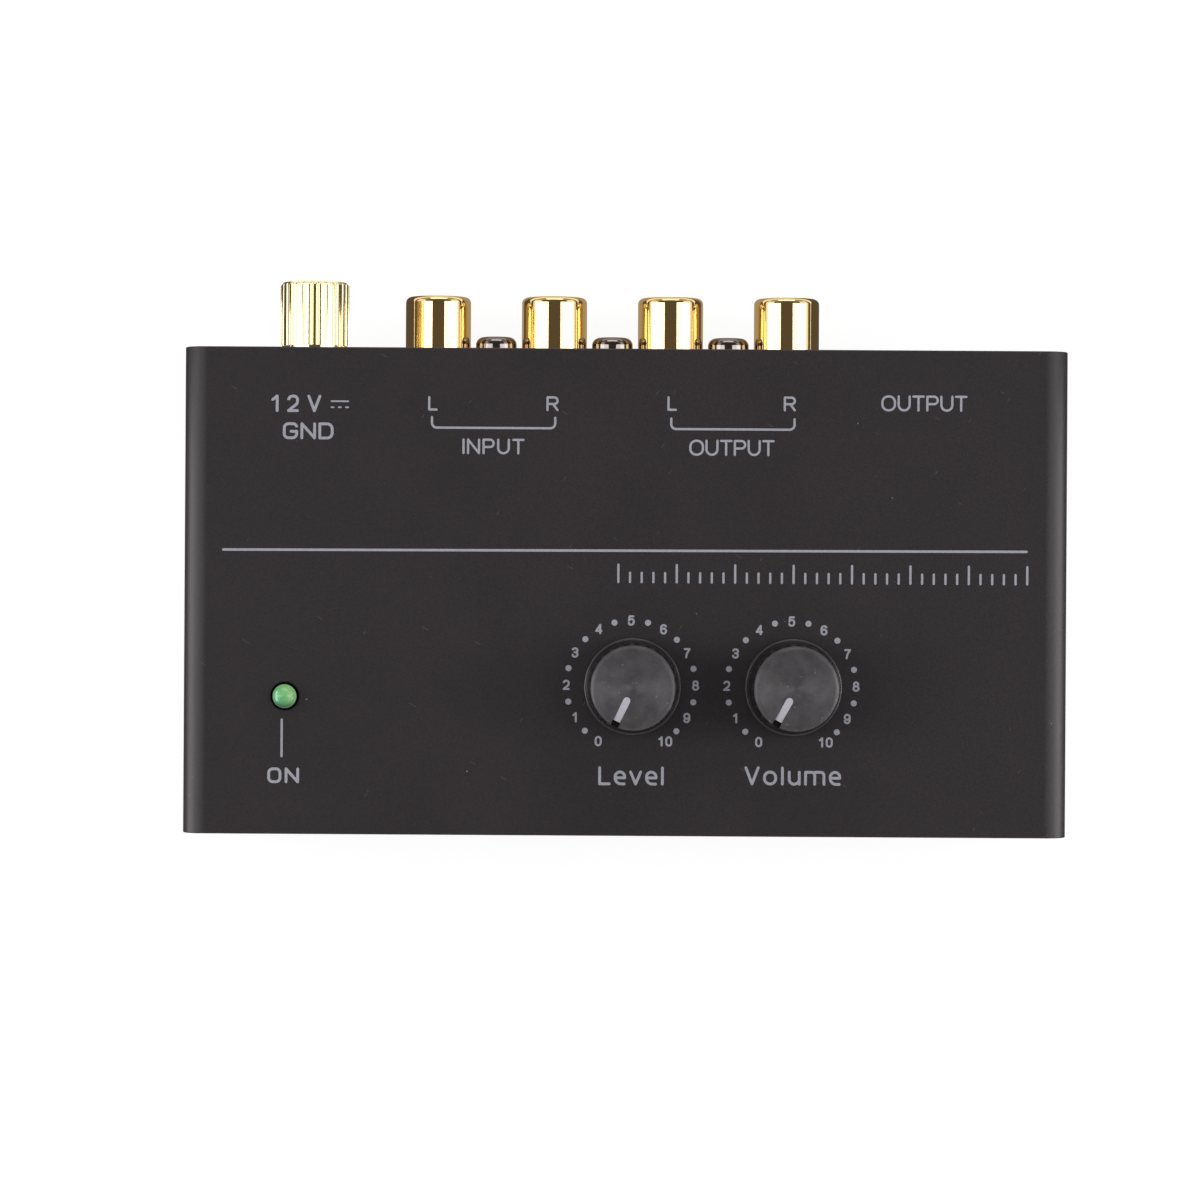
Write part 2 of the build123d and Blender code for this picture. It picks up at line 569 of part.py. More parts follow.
def wiper(x, y):
    """Spring ring under the rotor, with two fingers that run on the track."""
    ring_top = WAFER_TOP + ROTOR_LIFT
    ring_low = ring_top - WIPER_THICKNESS
    ring = rod_up(ROTOR_RADIUS, ring_low, ring_top)
    ring -= rod_up(ROTOR_RADIUS - WIPER_WIDTH, ring_low - OVERCUT, ring_top + OVERCUT)
    for side in (-1, 1):
        along = centred(side * WIPER_TRACK, 2 * WIPER_THICKNESS)
        height = (WAFER_TOP + WIPER_GAP, ring_top)
        ring += slab(along, centred(0, WIPER_FINGER_WIDTH), height)
    return pointer_frame(x, y) * ring


def pot_housing(x, y):
    """Moulded housing, open below, with a cavity for the rotor."""
    body = slab(centred(x, POT_WIDTH), centred(y, POT_WIDTH), (WAFER_TOP, POT_TOP))
    body -= rod_up(POT_CAVITY_RADIUS, WAFER_TOP - OVERCUT, POT_TOP - POT_ROOF, x, y)
    return body - rod_up(SHAFT_BORE, WAFER_TOP, POT_TOP + OVERCUT, x, y)


def pot_bushing(x, y):
    """Metal plate and neck that guide the shaft."""
    plate_top = POT_TOP + BUSHING_PLATE
    body = slab(centred(x, POT_WIDTH), centred(y, POT_WIDTH), (POT_TOP, plate_top))
    body += rod_up(BUSHING_RADIUS, POT_TOP, plate_top + BUSHING_HEIGHT, x, y)
    through = (POT_TOP - OVERCUT, plate_top + BUSHING_HEIGHT + OVERCUT)
    return body - rod_up(SHAFT_BORE, *through, x, y)


def pot_wafer(x, y):
    """Phenolic plate that carries the resistive tracks."""
    return slab(centred(x, POT_WIDTH), centred(y, POT_WIDTH), (BOARD_TOP, WAFER_TOP))


def terminal_places(x, y):
    """Both gangs' terminals on the board."""
    steps = [(n - (TERMINAL_COUNT - 1) / 2) * TERMINAL_PITCH for n in range(TERMINAL_COUNT)]
    return [(x + step, y + row * TERMINAL_ROW) for row in (-1, 1) for step in steps]


def pot_terminals(x, y):
    """Square tails from the wafer down through the board."""
    return group(
        slab(centred(px, TERMINAL_WIDTH), centred(py, TERMINAL_WIDTH), (LEAD_END, BOARD_TOP))
        for px, py in terminal_places(x, y)
    )


# ---- power light -----------------------------------------------------------
def power_light():
    """Domed lens with its flange under the cover."""
    x, y = LIGHT_PLACE
    lens = rod_up(LIGHT_RADIUS, LIGHT_FOOT, LIGHT_TIP - LIGHT_RADIUS, x, y)
    lens += Pos(x, y, LIGHT_TIP - LIGHT_RADIUS) * Sphere(LIGHT_RADIUS)
    return lens + rod_up(LIGHT_FLANGE_RADIUS, LIGHT_FOOT, LIGHT_FOOT + LIGHT_FLANGE_HEIGHT, x, y)


def light_lead_places():
    """Both leads of the light."""
    x, y = LIGHT_PLACE
    return [(x + side * LIGHT_LEAD_PITCH / 2, y) for side in (-1, 1)]


def light_leads():
    """Two straight leads from the lens down through the board."""
    return group(rod_up(LEAD_RADIUS, LEAD_END, LIGHT_FOOT, x, y) for x, y in light_lead_places())


def light_spacer():
    """Nylon tube that holds the light up against the cover."""
    spacer = rod_up(LIGHT_SPACER_RADIUS, BOARD_TOP, LIGHT_FOOT, *LIGHT_PLACE)
    for place in light_lead_places():
        spacer -= rod_up(LEAD_HOLE, BOARD_TOP - OVERCUT, LIGHT_FOOT + OVERCUT, *place)
    return spacer


# ---- phono sockets ---------------------------------------------------------
def barrel(x):
    """Plated outer shell with a rounded rim and a narrower root in the block."""
    shell = rod_back(BARREL_RADIUS, SHOULDER_Y, BARREL_END, x, PHONO_Z)
    shell = fillet(shell.edges().group_by(Axis.Y)[-1], BARREL_EDGE)
    shell += rod_back(BARREL_ROOT_RADIUS, BARREL_FOOT, SHOULDER_Y, x, PHONO_Z)
    bore = BARREL_RADIUS - BARREL_WALL
    root_bore = BARREL_ROOT_RADIUS - BARREL_WALL
    shell -= rod_back(bore, SHOULDER_Y + BARREL_WALL, BARREL_END + OVERCUT, x, PHONO_Z)
    return shell - rod_back(root_bore, BARREL_FOOT - OVERCUT, BARREL_END, x, PHONO_Z)


def insulator(x):
    """Moulded core of one socket, bored for the centre contact."""
    wide = BARREL_RADIUS - BARREL_WALL - SEAT_GAP
    narrow = BARREL_ROOT_RADIUS - BARREL_WALL - SEAT_GAP
    core = rod_back(narrow, BARREL_FOOT, BARREL_END - INSULATOR_RECESS, x, PHONO_Z)
    shelf = SHOULDER_Y + BARREL_WALL + SEAT_GAP
    core += rod_back(wide, shelf, BARREL_END - INSULATOR_RECESS, x, PHONO_Z)
    core -= rod_back(CONTACT_RADIUS + SEAT_GAP, CONTACT_FOOT - SEAT_GAP, CONTACT_END, x, PHONO_Z)
    mouth = CONTACT_BORE + INSULATOR_MOUTH_GAP
    core -= rod_back(mouth, CONTACT_END, BARREL_END, x, PHONO_Z)
    return core - tail_path(x, CONTACT_TAIL / 2 + SEAT_GAP)


def tail_path(x, half):
    """A square way from a centre contact forward out of the block."""
    return slab((x - half, x + half), (BLOCK_FRONT - OVERCUT, CONTACT_FOOT), centred(PHONO_Z, 2 * half))


def center_contact(x):
    """Slit spring sleeve with a tail that bends down to the board."""
    sleeve = rod_back(CONTACT_RADIUS, CONTACT_FOOT, CONTACT_END, x, PHONO_Z)
    bore_floor = CONTACT_FOOT + CONTACT_FLOOR
    sleeve -= rod_back(CONTACT_BORE, bore_floor, CONTACT_END + OVERCUT, x, PHONO_Z)
    slit_length = (bore_floor + CONTACT_FLOOR, CONTACT_END + OVERCUT)
    sleeve -= slab(centred(x, CONTACT_SLIT), slit_length, centred(PHONO_Z, 3 * CONTACT_RADIUS))
    width = centred(x, CONTACT_TAIL)
    tail_front = TAIL_Y - CONTACT_TAIL / 2
    sleeve += slab(width, (tail_front, CONTACT_FOOT), centred(PHONO_Z, CONTACT_TAIL))
    down = (LEAD_END, PHONO_Z + CONTACT_TAIL / 2)
    return sleeve + slab(width, centred(TAIL_Y, CONTACT_TAIL), down)


def ground_tab(x):
    """Flat tail from a barrel's root down through the board."""
    back = REAR_INSIDE - GROUND_TAB_SETBACK
    height = (LEAD_END, PHONO_Z - BARREL_ROOT_RADIUS - SEAT_GAP)
    return slab(centred(x, GROUND_TAB_WIDTH), (back - GROUND_TAB_THICKNESS, back), height)


def socket_block():
    """Moulded block behind the rear panel that carries all four sockets."""
    height = (BOARD_TOP, PHONO_Z + BARREL_ROOT_RADIUS + BLOCK_ROOF)
    body = slab((BLOCK_LEFT, BLOCK_LEFT + BLOCK_WIDTH), (BLOCK_FRONT, REAR_INSIDE), height)
    seat = BARREL_ROOT_RADIUS + SEAT_GAP
    for x in PHONO_X:
        body -= rod_back(seat, BARREL_FOOT, REAR_INSIDE + OVERCUT, x, PHONO_Z)
        body -= tail_path(x, CONTACT_TAIL / 2 + SEAT_GAP)
        back = REAR_INSIDE - GROUND_TAB_SETBACK
        slot = (back - GROUND_TAB_THICKNESS - SEAT_GAP, back + SEAT_GAP)
        slot_width = GROUND_TAB_WIDTH + 2 * SEAT_GAP
        body -= slab(centred(x, slot_width), slot, (BOARD_TOP - OVERCUT, PHONO_Z))
    for x in BLOCK_SCREW_X:
        front = REAR_FACE - BLOCK_SCREW_LENGTH - SEAT_GAP
        body -= rod_back(SCREW_RADIUS, front, REAR_INSIDE + OVERCUT, x, PHONO_Z)
    return body


def socket_screws():
    """Three pan head screws between the sockets, driven from behind."""
    return group(
        Pos(x, REAR_FACE, PHONO_Z) * Rot(X=-90) * pan_screw(BLOCK_SCREW_LENGTH)
        for x in BLOCK_SCREW_X
    )


# ---- quarter inch output jack ----------------------------------------------
def jack_housing():
    """Moulded jack body, open below, with its nose in the rear panel."""
    top = BOARD_TOP + JACK_HEIGHT
    front = REAR_INSIDE - JACK_DEPTH
    body = slab(centred(JACK_X, JACK_WIDTH), (front, REAR_INSIDE), (BOARD_TOP, top))
    nose_end = REAR_FACE + JACK_NOSE_PROUD
    body += rod_back(JACK_NOSE_RADIUS, REAR_INSIDE, nose_end, JACK_X, JACK_Z)
    cavity_back = REAR_INSIDE - JACK_FRONT_WALL
    body -= slab(
        centred(JACK_X, JACK_WIDTH - 2 * JACK_WALL),
        (front + JACK_WALL, cavity_back),
        (BOARD_TOP - OVERCUT, top - JACK_WALL),
    )
    return body - rod_back(JACK_BORE, cavity_back - OVERCUT, nose_end + OVERCUT, JACK_X, JACK_Z)


def jack_spring_frame(name):
    """The low and high places of one spring blade across X and along Y."""
    side = JACK_SPRING_SIDES[name]
    near = JACK_X + side * (JACK_BORE + JACK_SPRING_GAP)
    far = near + side * JACK_SPRING_THICKNESS
    back = REAR_INSIDE - JACK_SPRING_SETBACKS[name]
    return sorted((near, far)), (back - JACK_SPRING_WIDTH, back)


def jack_spring(name):
    """Upright contact blade with a bump that faces the plug."""
    across, along = jack_spring_frame(name)
    blade = slab(across, along, (LEAD_END, JACK_Z + JACK_SPRING_ABOVE_AXIS))
    inner = across[0] if JACK_SPRING_SIDES[name] > 0 else across[1]
    middle = sum(along) / 2
    bump_radius = JACK_SPRING_GAP - JACK_SPRING_BUMP_GAP
    return blade + rod_up(bump_radius, *centred(JACK_Z, JACK_SPRING_BUMP_LENGTH), inner, middle)


# ---- power inlet -----------------------------------------------------------
def inlet_housing():
    """Moulded inlet body behind the panel, with a blind bore round the centre pin."""
    outer = POWER_BORE + POWER_WALL
    across = centred(POWER_X, 2 * outer)
    body = slab(across, (POWER_FRONT, REAR_INSIDE), (BOARD_TOP, INLET_TOP))
    body -= rod_back(POWER_BORE, POWER_BORE_FLOOR, REAR_INSIDE + OVERCUT, POWER_X, POWER_Z)
    root = POWER_PIN_ROOT + SEAT_GAP
    body -= rod_back(root, POWER_FRONT - OVERCUT, POWER_BORE_FLOOR, POWER_X, POWER_Z)
    across, along, height = inlet_spring_box()
    grown = [(low - SEAT_GAP, high + SEAT_GAP) for low, high in (across, along)]
    return body - slab(*grown, (height[0] - OVERCUT, height[1] + SEAT_GAP))


def inlet_pin():
    """Centre pin with a thinner root and a tail down to the board."""
    pin_end = REAR_INSIDE - POWER_PIN_SETBACK
    pin = rod_back(POWER_PIN, POWER_BORE_FLOOR, pin_end, POWER_X, POWER_Z)
    pin = chamfer(pin.edges().group_by(Axis.Y)[-1], POWER_PIN_TIP)
    tail_front = POWER_FRONT - SEAT_GAP - POWER_TAIL
    pin += rod_back(POWER_PIN_ROOT, tail_front, POWER_BORE_FLOOR, POWER_X, POWER_Z)
    tail_height = (LEAD_END, POWER_Z + POWER_PIN_ROOT)
    return pin + slab(centred(POWER_X, POWER_TAIL), (tail_front, POWER_FRONT - SEAT_GAP), tail_height)


def inlet_spring_box():
    """The places of the sleeve contact across X, along Y and in height."""
    across = centred(POWER_X, POWER_SPRING_WIDTH)
    middle = (POWER_BORE_FLOOR + REAR_INSIDE) / 2
    height = (LEAD_END, POWER_Z - POWER_BORE + POWER_SPRING_THICKNESS)
    return across, centred(middle, POWER_SPRING_THICKNESS), height


def inlet_spring():
    """Blade that meets the plug's outer sleeve from below."""
    return slab(*inlet_spring_box())


# ---- ground terminal -------------------------------------------------------
def ground_stud():
    """Threaded stud with a collar on the outside of the rear panel."""
    end = NUT_FRONT + NUT_LENGTH - NUT_CAP - STUD_END_GAP
    stud = rod_back(STUD_RADIUS, REAR_INSIDE - STUD_INSIDE, end, POWER_X, GROUND_Z)
    stud = chamfer(stud.edges().group_by(Axis.Y)[-1], STUD_TIP)
    return stud + rod_back(COLLAR_RADIUS, REAR_FACE, CLAMP_FACE, POWER_X, GROUND_Z)


def clamp_washer():
    """Washer that turns free on the nut's nose and travels with it."""
    washer = rod_back(CLAMP_WASHER_RADIUS, CLAMP_FACE, NUT_FRONT, POWER_X, GROUND_Z)
    return washer - rod_back(STUD_BORE, CLAMP_FACE - OVERCUT, NUT_FRONT + OVERCUT, POWER_X, GROUND_Z)


def ground_nut():
    """Ribbed thumb nut, blind at its outer end."""
    end = NUT_FRONT + NUT_LENGTH
    body = rod_back(NUT_RADIUS, NUT_FRONT, end, POWER_X, GROUND_Z)
    body = chamfer(body.edges().group_by(Axis.Y)[-1], NUT_EDGE)
    axis_place = Pos(POWER_X, 0, GROUND_Z)
    grooves = [
        axis_place * Rot(Y=360 * n / RIB_COUNT)
        * rod_back(RIB_GROOVE_RADIUS, NUT_FRONT - OVERCUT, end + OVERCUT, NUT_RADIUS, 0)
        for n in range(RIB_COUNT)
    ]
    body -= grooves
    return body - rod_back(STUD_BORE, NUT_FRONT - OVERCUT, end - NUT_CAP, POWER_X, GROUND_Z)


def ground_lug():
    """Solder lug under the lock nut, with its tail towards the case's side."""
    front = REAR_INSIDE - LUG_THICKNESS
    lug = rod_back(LUG_RADIUS, front, REAR_INSIDE, POWER_X, GROUND_Z)
    tail = (POWER_X - LUG_TAIL_LENGTH, POWER_X)
    lug += slab(tail, (front, REAR_INSIDE), centred(GROUND_Z, LUG_TAIL_WIDTH))
    return lug - rod_back(STUD_BORE, front - OVERCUT, REAR_INSIDE + OVERCUT, POWER_X, GROUND_Z)


def ground_lock_nut():
    """Hexagon nut inside the panel."""
    back = REAR_INSIDE - LUG_THICKNESS
    hexagon = RegularPolygon(LOCK_NUT_FLATS / 2, 6, major_radius=False)
    front = back - LOCK_NUT_THICKNESS
    nut = Pos(POWER_X, front, GROUND_Z) * Rot(X=-90) * extrude(hexagon, LOCK_NUT_THICKNESS)
    return nut - rod_back(STUD_BORE, front - OVERCUT, back + OVERCUT, POWER_X, GROUND_Z)


def ground_wire():
    """Insulated wire from the lug's tail down to the board."""
    x = POWER_X - LUG_TAIL_LENGTH + LUG_TAIL_WIDTH / 2
    start = REAR_INSIDE - LUG_THICKNESS
    drop = start - WIRE_FORWARD
    route = FilletPolyline((x, start, GROUND_Z), (x, drop, GROUND_Z), (x, drop, BOARD_TOP), radius=WIRE_BEND)
    section = Plane((x, start, GROUND_Z), x_dir=(1, 0, 0), z_dir=(0, -1, 0)) * Circle(WIRE_RADIUS)
    return sweep(section, route)


# ---- board and its components ----------------------------------------------
def on_board(places):
    """Component places in the part's frame, from their shares of the board."""
    return [
        (share_x * BOARD_HALF, REAR_INSIDE - share_y * (REAR_INSIDE - FRONT_INSIDE), *sizes)
        for share_x, share_y, *sizes in places
    ]


def chip_leg_places(x, y):
    """The eight legs of one chip."""
    steps = [(n - 1.5) * CHIP_PITCH for n in range(4)]
    return [(x + step, y + row * CHIP_ROW) for row in (-1, 1) for step in steps]


def amplifier_chips():
    """Two eight-leg amplifier chips."""
    length, width, height = CHIP_SIZE
    low = BOARD_TOP + CHIP_LIFT
    return group(
        slab(centred(x, length), centred(y, width), (low, low + height))
        for x, y in on_board(CHIP_PLACES)
    )


def chip_leg(px, py, chip_y):
    """One leg: out of the chip's side, then down through the board."""
    side = 1 if py > chip_y else -1
    shoulder = BOARD_TOP + CHIP_LIFT + CHIP_SIZE[2] / 2
    inner = chip_y + side * CHIP_SIZE[1] / 2
    outer = py + side * CHIP_LEG / 2
    arm_height = (shoulder - CHIP_LEG, shoulder)
    leg = slab(centred(px, CHIP_LEG), sorted((inner, outer)), arm_height)
    return leg + slab(centred(px, CHIP_LEG), centred(py, CHIP_LEG), (LEAD_END, shoulder))


def chip_legs():
    """All legs of both chips."""
    return group(
        chip_leg(px, py, y)
        for x, y in on_board(CHIP_PLACES)
        for px, py in chip_leg_places(x, y)
    )


def can_lead_places(x, y, radius):
    """Both leads of one electrolytic capacitor."""
    return [(x + side * CAN_LEAD_SHARE * radius, y) for side in (-1, 1)]


def electrolytic_capacitors():
    """Upright cans with their leads."""
    cans = []
    for x, y, radius, height in on_board(CAN_PLACES):
        can = rod_up(radius, BOARD_TOP, BOARD_TOP + height, x, y)
        can = fillet(can.edges().group_by(Axis.Z)[-1], CAN_EDGE)
        for place in can_lead_places(x, y, radius):
            can += rod_up(LEAD_RADIUS, LEAD_END, BOARD_TOP, *place)
        cans.append(can)
    return group(cans)


def film_lead_places(x, y):
    """Both leads of one film capacitor."""
    return [(x + side * FILM_LEAD, y) for side in (-1, 1)]


def film_capacitors():
    """Box capacitors of the equalising network."""
    length, width, height = FILM_SIZE
    boxes = []
    for x, y in on_board(FILM_PLACES):
        body = slab(centred(x, length), centred(y, width), (BOARD_TOP, BOARD_TOP + height))
        for place in film_lead_places(x, y):
            body += rod_up(LEAD_RADIUS, LEAD_END, BOARD_TOP, *place)
        boxes.append(body)
    return group(boxes)


def resistor_places():
    """Centres of the resistor row."""
    y = CASE_FRONT + RESISTOR_INSET
    first = RESISTOR_START * BOARD_HALF
    return [(first + RESISTOR_PITCH * n, y) for n in range(RESISTOR_COUNT)]


def axial_lead_places(x, y, pitch):
    """Both leads of a component that lies along Y."""
    return [(x, y + side * pitch / 2) for side in (-1, 1)]


def axial_component(x, y, radius, length, pitch):
    """A round body that lies along Y, with its leads bent down through the board."""
    axis_z = BOARD_TOP + AXIAL_LIFT + radius
    body = rod_back(radius, *centred(y, length), x, axis_z)
    body = fillet(body.edges(), AXIAL_EDGE)
    near, far = centred(y, pitch)
    corners = ((x, near, LEAD_END), (x, near, axis_z), (x, far, axis_z), (x, far, LEAD_END))
    section = Plane(corners[0]) * Circle(LEAD_RADIUS)
    return body + sweep(section, FilletPolyline(*corners, radius=LEAD_BEND))


def resistors():
    """The resistor row."""
    return group(
        axial_component(x, y, RESISTOR_RADIUS, RESISTOR_LENGTH, RESISTOR_LEAD_PITCH)
        for x, y in resistor_places()
    )


def power_diode():
    """Reverse polarity guard beside the power inlet."""
    x, y = on_board([DIODE_PLACE])[0]
    return axial_component(x, y, DIODE_RADIUS, DIODE_LENGTH, DIODE_LEAD_PITCH)


def disc_lead_places(x, y):
    """Both leads of one ceramic disc."""
    return [(x + side * DISC_LEAD, y) for side in (-1, 1)]


def ceramic_capacitors():
    """Dipped ceramic discs, standing on their leads."""
    axis_z = BOARD_TOP + DISC_LIFT + DISC_RADIUS
    made = []
    for x, y in on_board(DISC_PLACES):
        body = rod_back(DISC_RADIUS, *centred(y, DISC_THICKNESS), x, axis_z)
        body = fillet(body.edges(), DISC_EDGE)
        for place in disc_lead_places(x, y):
            body += rod_up(LEAD_RADIUS, LEAD_END, axis_z, *place)
        made.append(body)
    return group(made)


def regulator_lead_places():
    """The three leads of the voltage regulator."""
    x, y = on_board([REGULATOR_PLACE])[0]
    return [(x + step * REGULATOR_LEAD_PITCH, y) for step in (-1, 0, 1)]


def voltage_regulator():
    """Small plastic regulator with one rounded side."""
    x, y = on_board([REGULATOR_PLACE])[0]
    length, depth, height = REGULATOR_SIZE
    low = BOARD_TOP + REGULATOR_LIFT
    body = slab(centred(x, length), centred(y, depth), (low, low + height))
    body = fillet(body.edges().filter_by(Axis.Z).group_by(Axis.Y)[-1], REGULATOR_ROUND)
    for place in regulator_lead_places():
        body += rod_up(LEAD_RADIUS, LEAD_END, low, *place)
    return body


def round_lead_places():
    """Every round lead that goes through the board."""
    places = light_lead_places() + regulator_lead_places()
    for x, y, radius, _ in on_board(CAN_PLACES):
        places += can_lead_places(x, y, radius)
    for x, y in on_board(FILM_PLACES):
        places += film_lead_places(x, y)
    for x, y in resistor_places():
        places += axial_lead_places(x, y, RESISTOR_LEAD_PITCH)
    places += axial_lead_places(*on_board([DIODE_PLACE])[0], DIODE_LEAD_PITCH)
    for x, y in on_board(DISC_PLACES):
        places += disc_lead_places(x, y)
    return places


def square_lead_places():
    """Every flat or square tail that goes through the board, as centre and half sizes."""
    tails = []
    half = TERMINAL_WIDTH / 2 + TERMINAL_HOLE_GAP
    for x, y in CONTROLS.values():
        tails += [(px, py, half, half) for px, py in terminal_places(x, y)]
    leg_half = CHIP_LEG / 2 + TERMINAL_HOLE_GAP
    for x, y in on_board(CHIP_PLACES):
        tails += [(px, py, leg_half, leg_half) for px, py in chip_leg_places(x, y)]
    tail_half = CONTACT_TAIL / 2 + TERMINAL_HOLE_GAP
    tab_y = REAR_INSIDE - GROUND_TAB_SETBACK - GROUND_TAB_THICKNESS / 2
    for x in PHONO_X:
        tails.append((x, TAIL_Y, tail_half, tail_half))
        tab_half = (GROUND_TAB_WIDTH / 2, GROUND_TAB_THICKNESS / 2)
        tails.append((x, tab_y, *(size + TERMINAL_HOLE_GAP for size in tab_half)))
    for name in JACK_SPRING_SIDES:
        across, along = jack_spring_frame(name)
        tails.append(tail_in(across, along))
    pin_y = POWER_FRONT - SEAT_GAP - POWER_TAIL / 2
    pin_half = POWER_TAIL / 2 + TERMINAL_HOLE_GAP
    tails.append((POWER_X, pin_y, pin_half, pin_half))
    tails.append(tail_in(*inlet_spring_box()[:2]))
    return tails


def tail_in(across, along):
    """A tail's centre and half sizes, grown by the hole's gap."""
    halves = [(high - low) / 2 + TERMINAL_HOLE_GAP for low, high in (across, along)]
    return (sum(across) / 2, sum(along) / 2, *halves)


def main_board():
    """Circuit board with a hole for each lead, tail and screw."""
    edges = (FRONT_INSIDE + BOARD_GAP, REAR_INSIDE - BOARD_GAP)
    board = slab((-BOARD_HALF, BOARD_HALF), edges, (BOARD_BOTTOM, BOARD_TOP))
    through = (BOARD_BOTTOM - OVERCUT, BOARD_TOP + OVERCUT)
    cutters = [rod_up(LEAD_HOLE, *through, x, y) for x, y in round_lead_places()]
    cutters += [rod_up(SCREW_RADIUS + SCREW_CLEARANCE, *through, x, y) for x, y in STANDOFF_PLACES]
    cutters += [
        slab((x - half_x, x + half_x), (y - half_y, y + half_y), through)
        for x, y, half_x, half_y in square_lead_places()
    ]
    return board - cutters


# ---- every node ------------------------------------------------------------
def control_nodes(name, x, y):
    """The nodes of one rotary control."""
    made = {
        "knob": knob, "pointer": pointer, "shaft": control_shaft, "wiper": wiper,
        "pot_housing": pot_housing, "pot_bushing": pot_bushing, "pot_wafer": pot_wafer,
        "pot_terminals": pot_terminals,
    }
    return {f"{name}_{piece}": build(x, y) for piece, build in made.items()}


def all_nodes():
    """Every node of the part, by name."""
    nodes = {
        "top_cover": top_cover(),
        "bottom_tray": bottom_tray(),
        "cover_screws": cover_screws(),
        "rubber_feet": rubber_feet(),
        "board_standoffs": board_standoffs(),
        "board_screws": board_screws(),
        "main_board": main_board(),
        "amplifier_chips": amplifier_chips(),
        "chip_legs": chip_legs(),
        "electrolytic_capacitors": electrolytic_capacitors(),
        "film_capacitors": film_capacitors(),
        "resistors": resistors(),
        "ceramic_capacitors": ceramic_capacitors(),
        "power_diode": power_diode(),
        "voltage_regulator": voltage_regulator(),
        "power_light": power_light(),
        "light_leads": light_leads(),
        "light_spacer": light_spacer(),
        "socket_block": socket_block(),
        "socket_screws": socket_screws(),
        "left_insulators": group(insulator(PHONO_X[n]) for n in (0, 2)),
        "right_insulators": group(insulator(PHONO_X[n]) for n in (1, 3)),
        "center_contacts": group(center_contact(x) for x in PHONO_X),
        "socket_ground_tabs": group(ground_tab(x) for x in PHONO_X),
        "output_jack_housing": jack_housing(),
        "power_inlet_housing": inlet_housing(),
        "power_inlet_pin": inlet_pin(),
        "power_inlet_spring": inlet_spring(),
        "ground_stud": ground_stud(),
        "ground_clamp_washer": clamp_washer(),
        "ground_nut": ground_nut(),
        "ground_lug": ground_lug(),
        "ground_lock_nut": ground_lock_nut(),
        "ground_wire": ground_wire(),
    }
    for name, x in zip(PHONO_NAMES, PHONO_X):
        nodes[f"{name}_barrel"] = barrel(x)
    for name in JACK_SPRING_SIDES:
        nodes[f"output_jack_{name}_spring"] = jack_spring(name)
    for name, (x, y) in CONTROLS.items():
        nodes.update(control_nodes(name, x, y))
    return nodes


def main():
    """Writes one STEP for each node."""
    os.makedirs("parts", exist_ok=True)
    for name, shape in all_nodes().items():
        export_step(shape, f"parts/{name}.step")


if __name__ == "__main__":
    main()
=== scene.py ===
"""Looks of a desktop phono preamplifier, built round its packed construction.

Laid out as a Blender add-on: sizes and colours are properties, each piece or group of like
pieces has an operator, and a panel in the 3D view's sidebar lists them. Run as a script, it
makes every piece in turn. Lengths are in metres, in the frame of the construction: +X to the
right of someone facing the dials, +Y to the rear sockets, +Z up.
"""

import math

import bmesh
import bpy
from bpy.props import FloatProperty, FloatVectorProperty, IntProperty, PointerProperty
from mathutils import Matrix, Vector


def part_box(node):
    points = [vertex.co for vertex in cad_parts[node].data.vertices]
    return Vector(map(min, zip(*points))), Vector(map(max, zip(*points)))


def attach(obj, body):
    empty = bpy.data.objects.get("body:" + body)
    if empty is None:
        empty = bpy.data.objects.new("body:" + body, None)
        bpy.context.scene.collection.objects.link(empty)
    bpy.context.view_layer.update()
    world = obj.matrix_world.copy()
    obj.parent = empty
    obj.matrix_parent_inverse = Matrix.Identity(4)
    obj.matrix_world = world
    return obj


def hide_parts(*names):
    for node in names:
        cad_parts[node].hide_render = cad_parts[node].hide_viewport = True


bl_info = {
    "name": "Phono preamplifier looks",
    "version": (1, 0, 0),
    "blender": (4, 5, 0),
    "location": "3D View > Sidebar > Preamp",
    "description": "Builds the case, dials, sockets, printing and finishes of a preamplifier",
    "category": "Object",
}

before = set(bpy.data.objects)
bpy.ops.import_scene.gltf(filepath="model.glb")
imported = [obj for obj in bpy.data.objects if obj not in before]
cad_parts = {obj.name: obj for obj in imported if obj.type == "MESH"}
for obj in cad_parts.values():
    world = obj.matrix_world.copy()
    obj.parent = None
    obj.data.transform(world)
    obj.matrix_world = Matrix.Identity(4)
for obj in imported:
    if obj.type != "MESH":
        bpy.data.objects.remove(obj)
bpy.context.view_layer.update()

MM = 0.001
CONTROLS = ("level", "volume")
PHONO_SOCKETS = ("input_left", "input_right", "output_left", "output_right")

# ---- places read from the construction --------------------------------------
COVER_LOW, COVER_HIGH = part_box("top_cover")
CASE_TOP = COVER_HIGH.z
CASE_MIDDLE = (COVER_LOW + COVER_HIGH) / 2
REAR_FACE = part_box("bottom_tray")[1].y
BOARD_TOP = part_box("main_board")[1].z


def length(name, description, millimetres):
    """A property that holds a length, given in millimetres."""
    return FloatProperty(
        name=name, description=description, default=millimetres * MM,
        min=0.0, precision=5, subtype="DISTANCE", unit="LENGTH",
    )


def share(name, description, default):
    """A property from 0 to 1."""
    return FloatProperty(
        name=name, description=description, default=default, min=0.0, max=1.0, subtype="FACTOR",
    )


def strength(name, description, default):
    """A property that holds a lamp's power or an emission's strength."""
    return FloatProperty(name=name, description=description, default=default, min=0.0)


def turn_by(name, description, degrees):
    """A property that holds an angle, given in degrees."""
    return FloatProperty(
        name=name, description=description, default=math.radians(degrees),
        subtype="ANGLE", unit="ROTATION",
    )


def colour(name, description, red, green, blue):
    """A property that holds a linear colour."""
    return FloatVectorProperty(
        name=name, description=description, default=(red, green, blue),
        min=0.0, max=1.0, size=3, subtype="COLOR",
    )


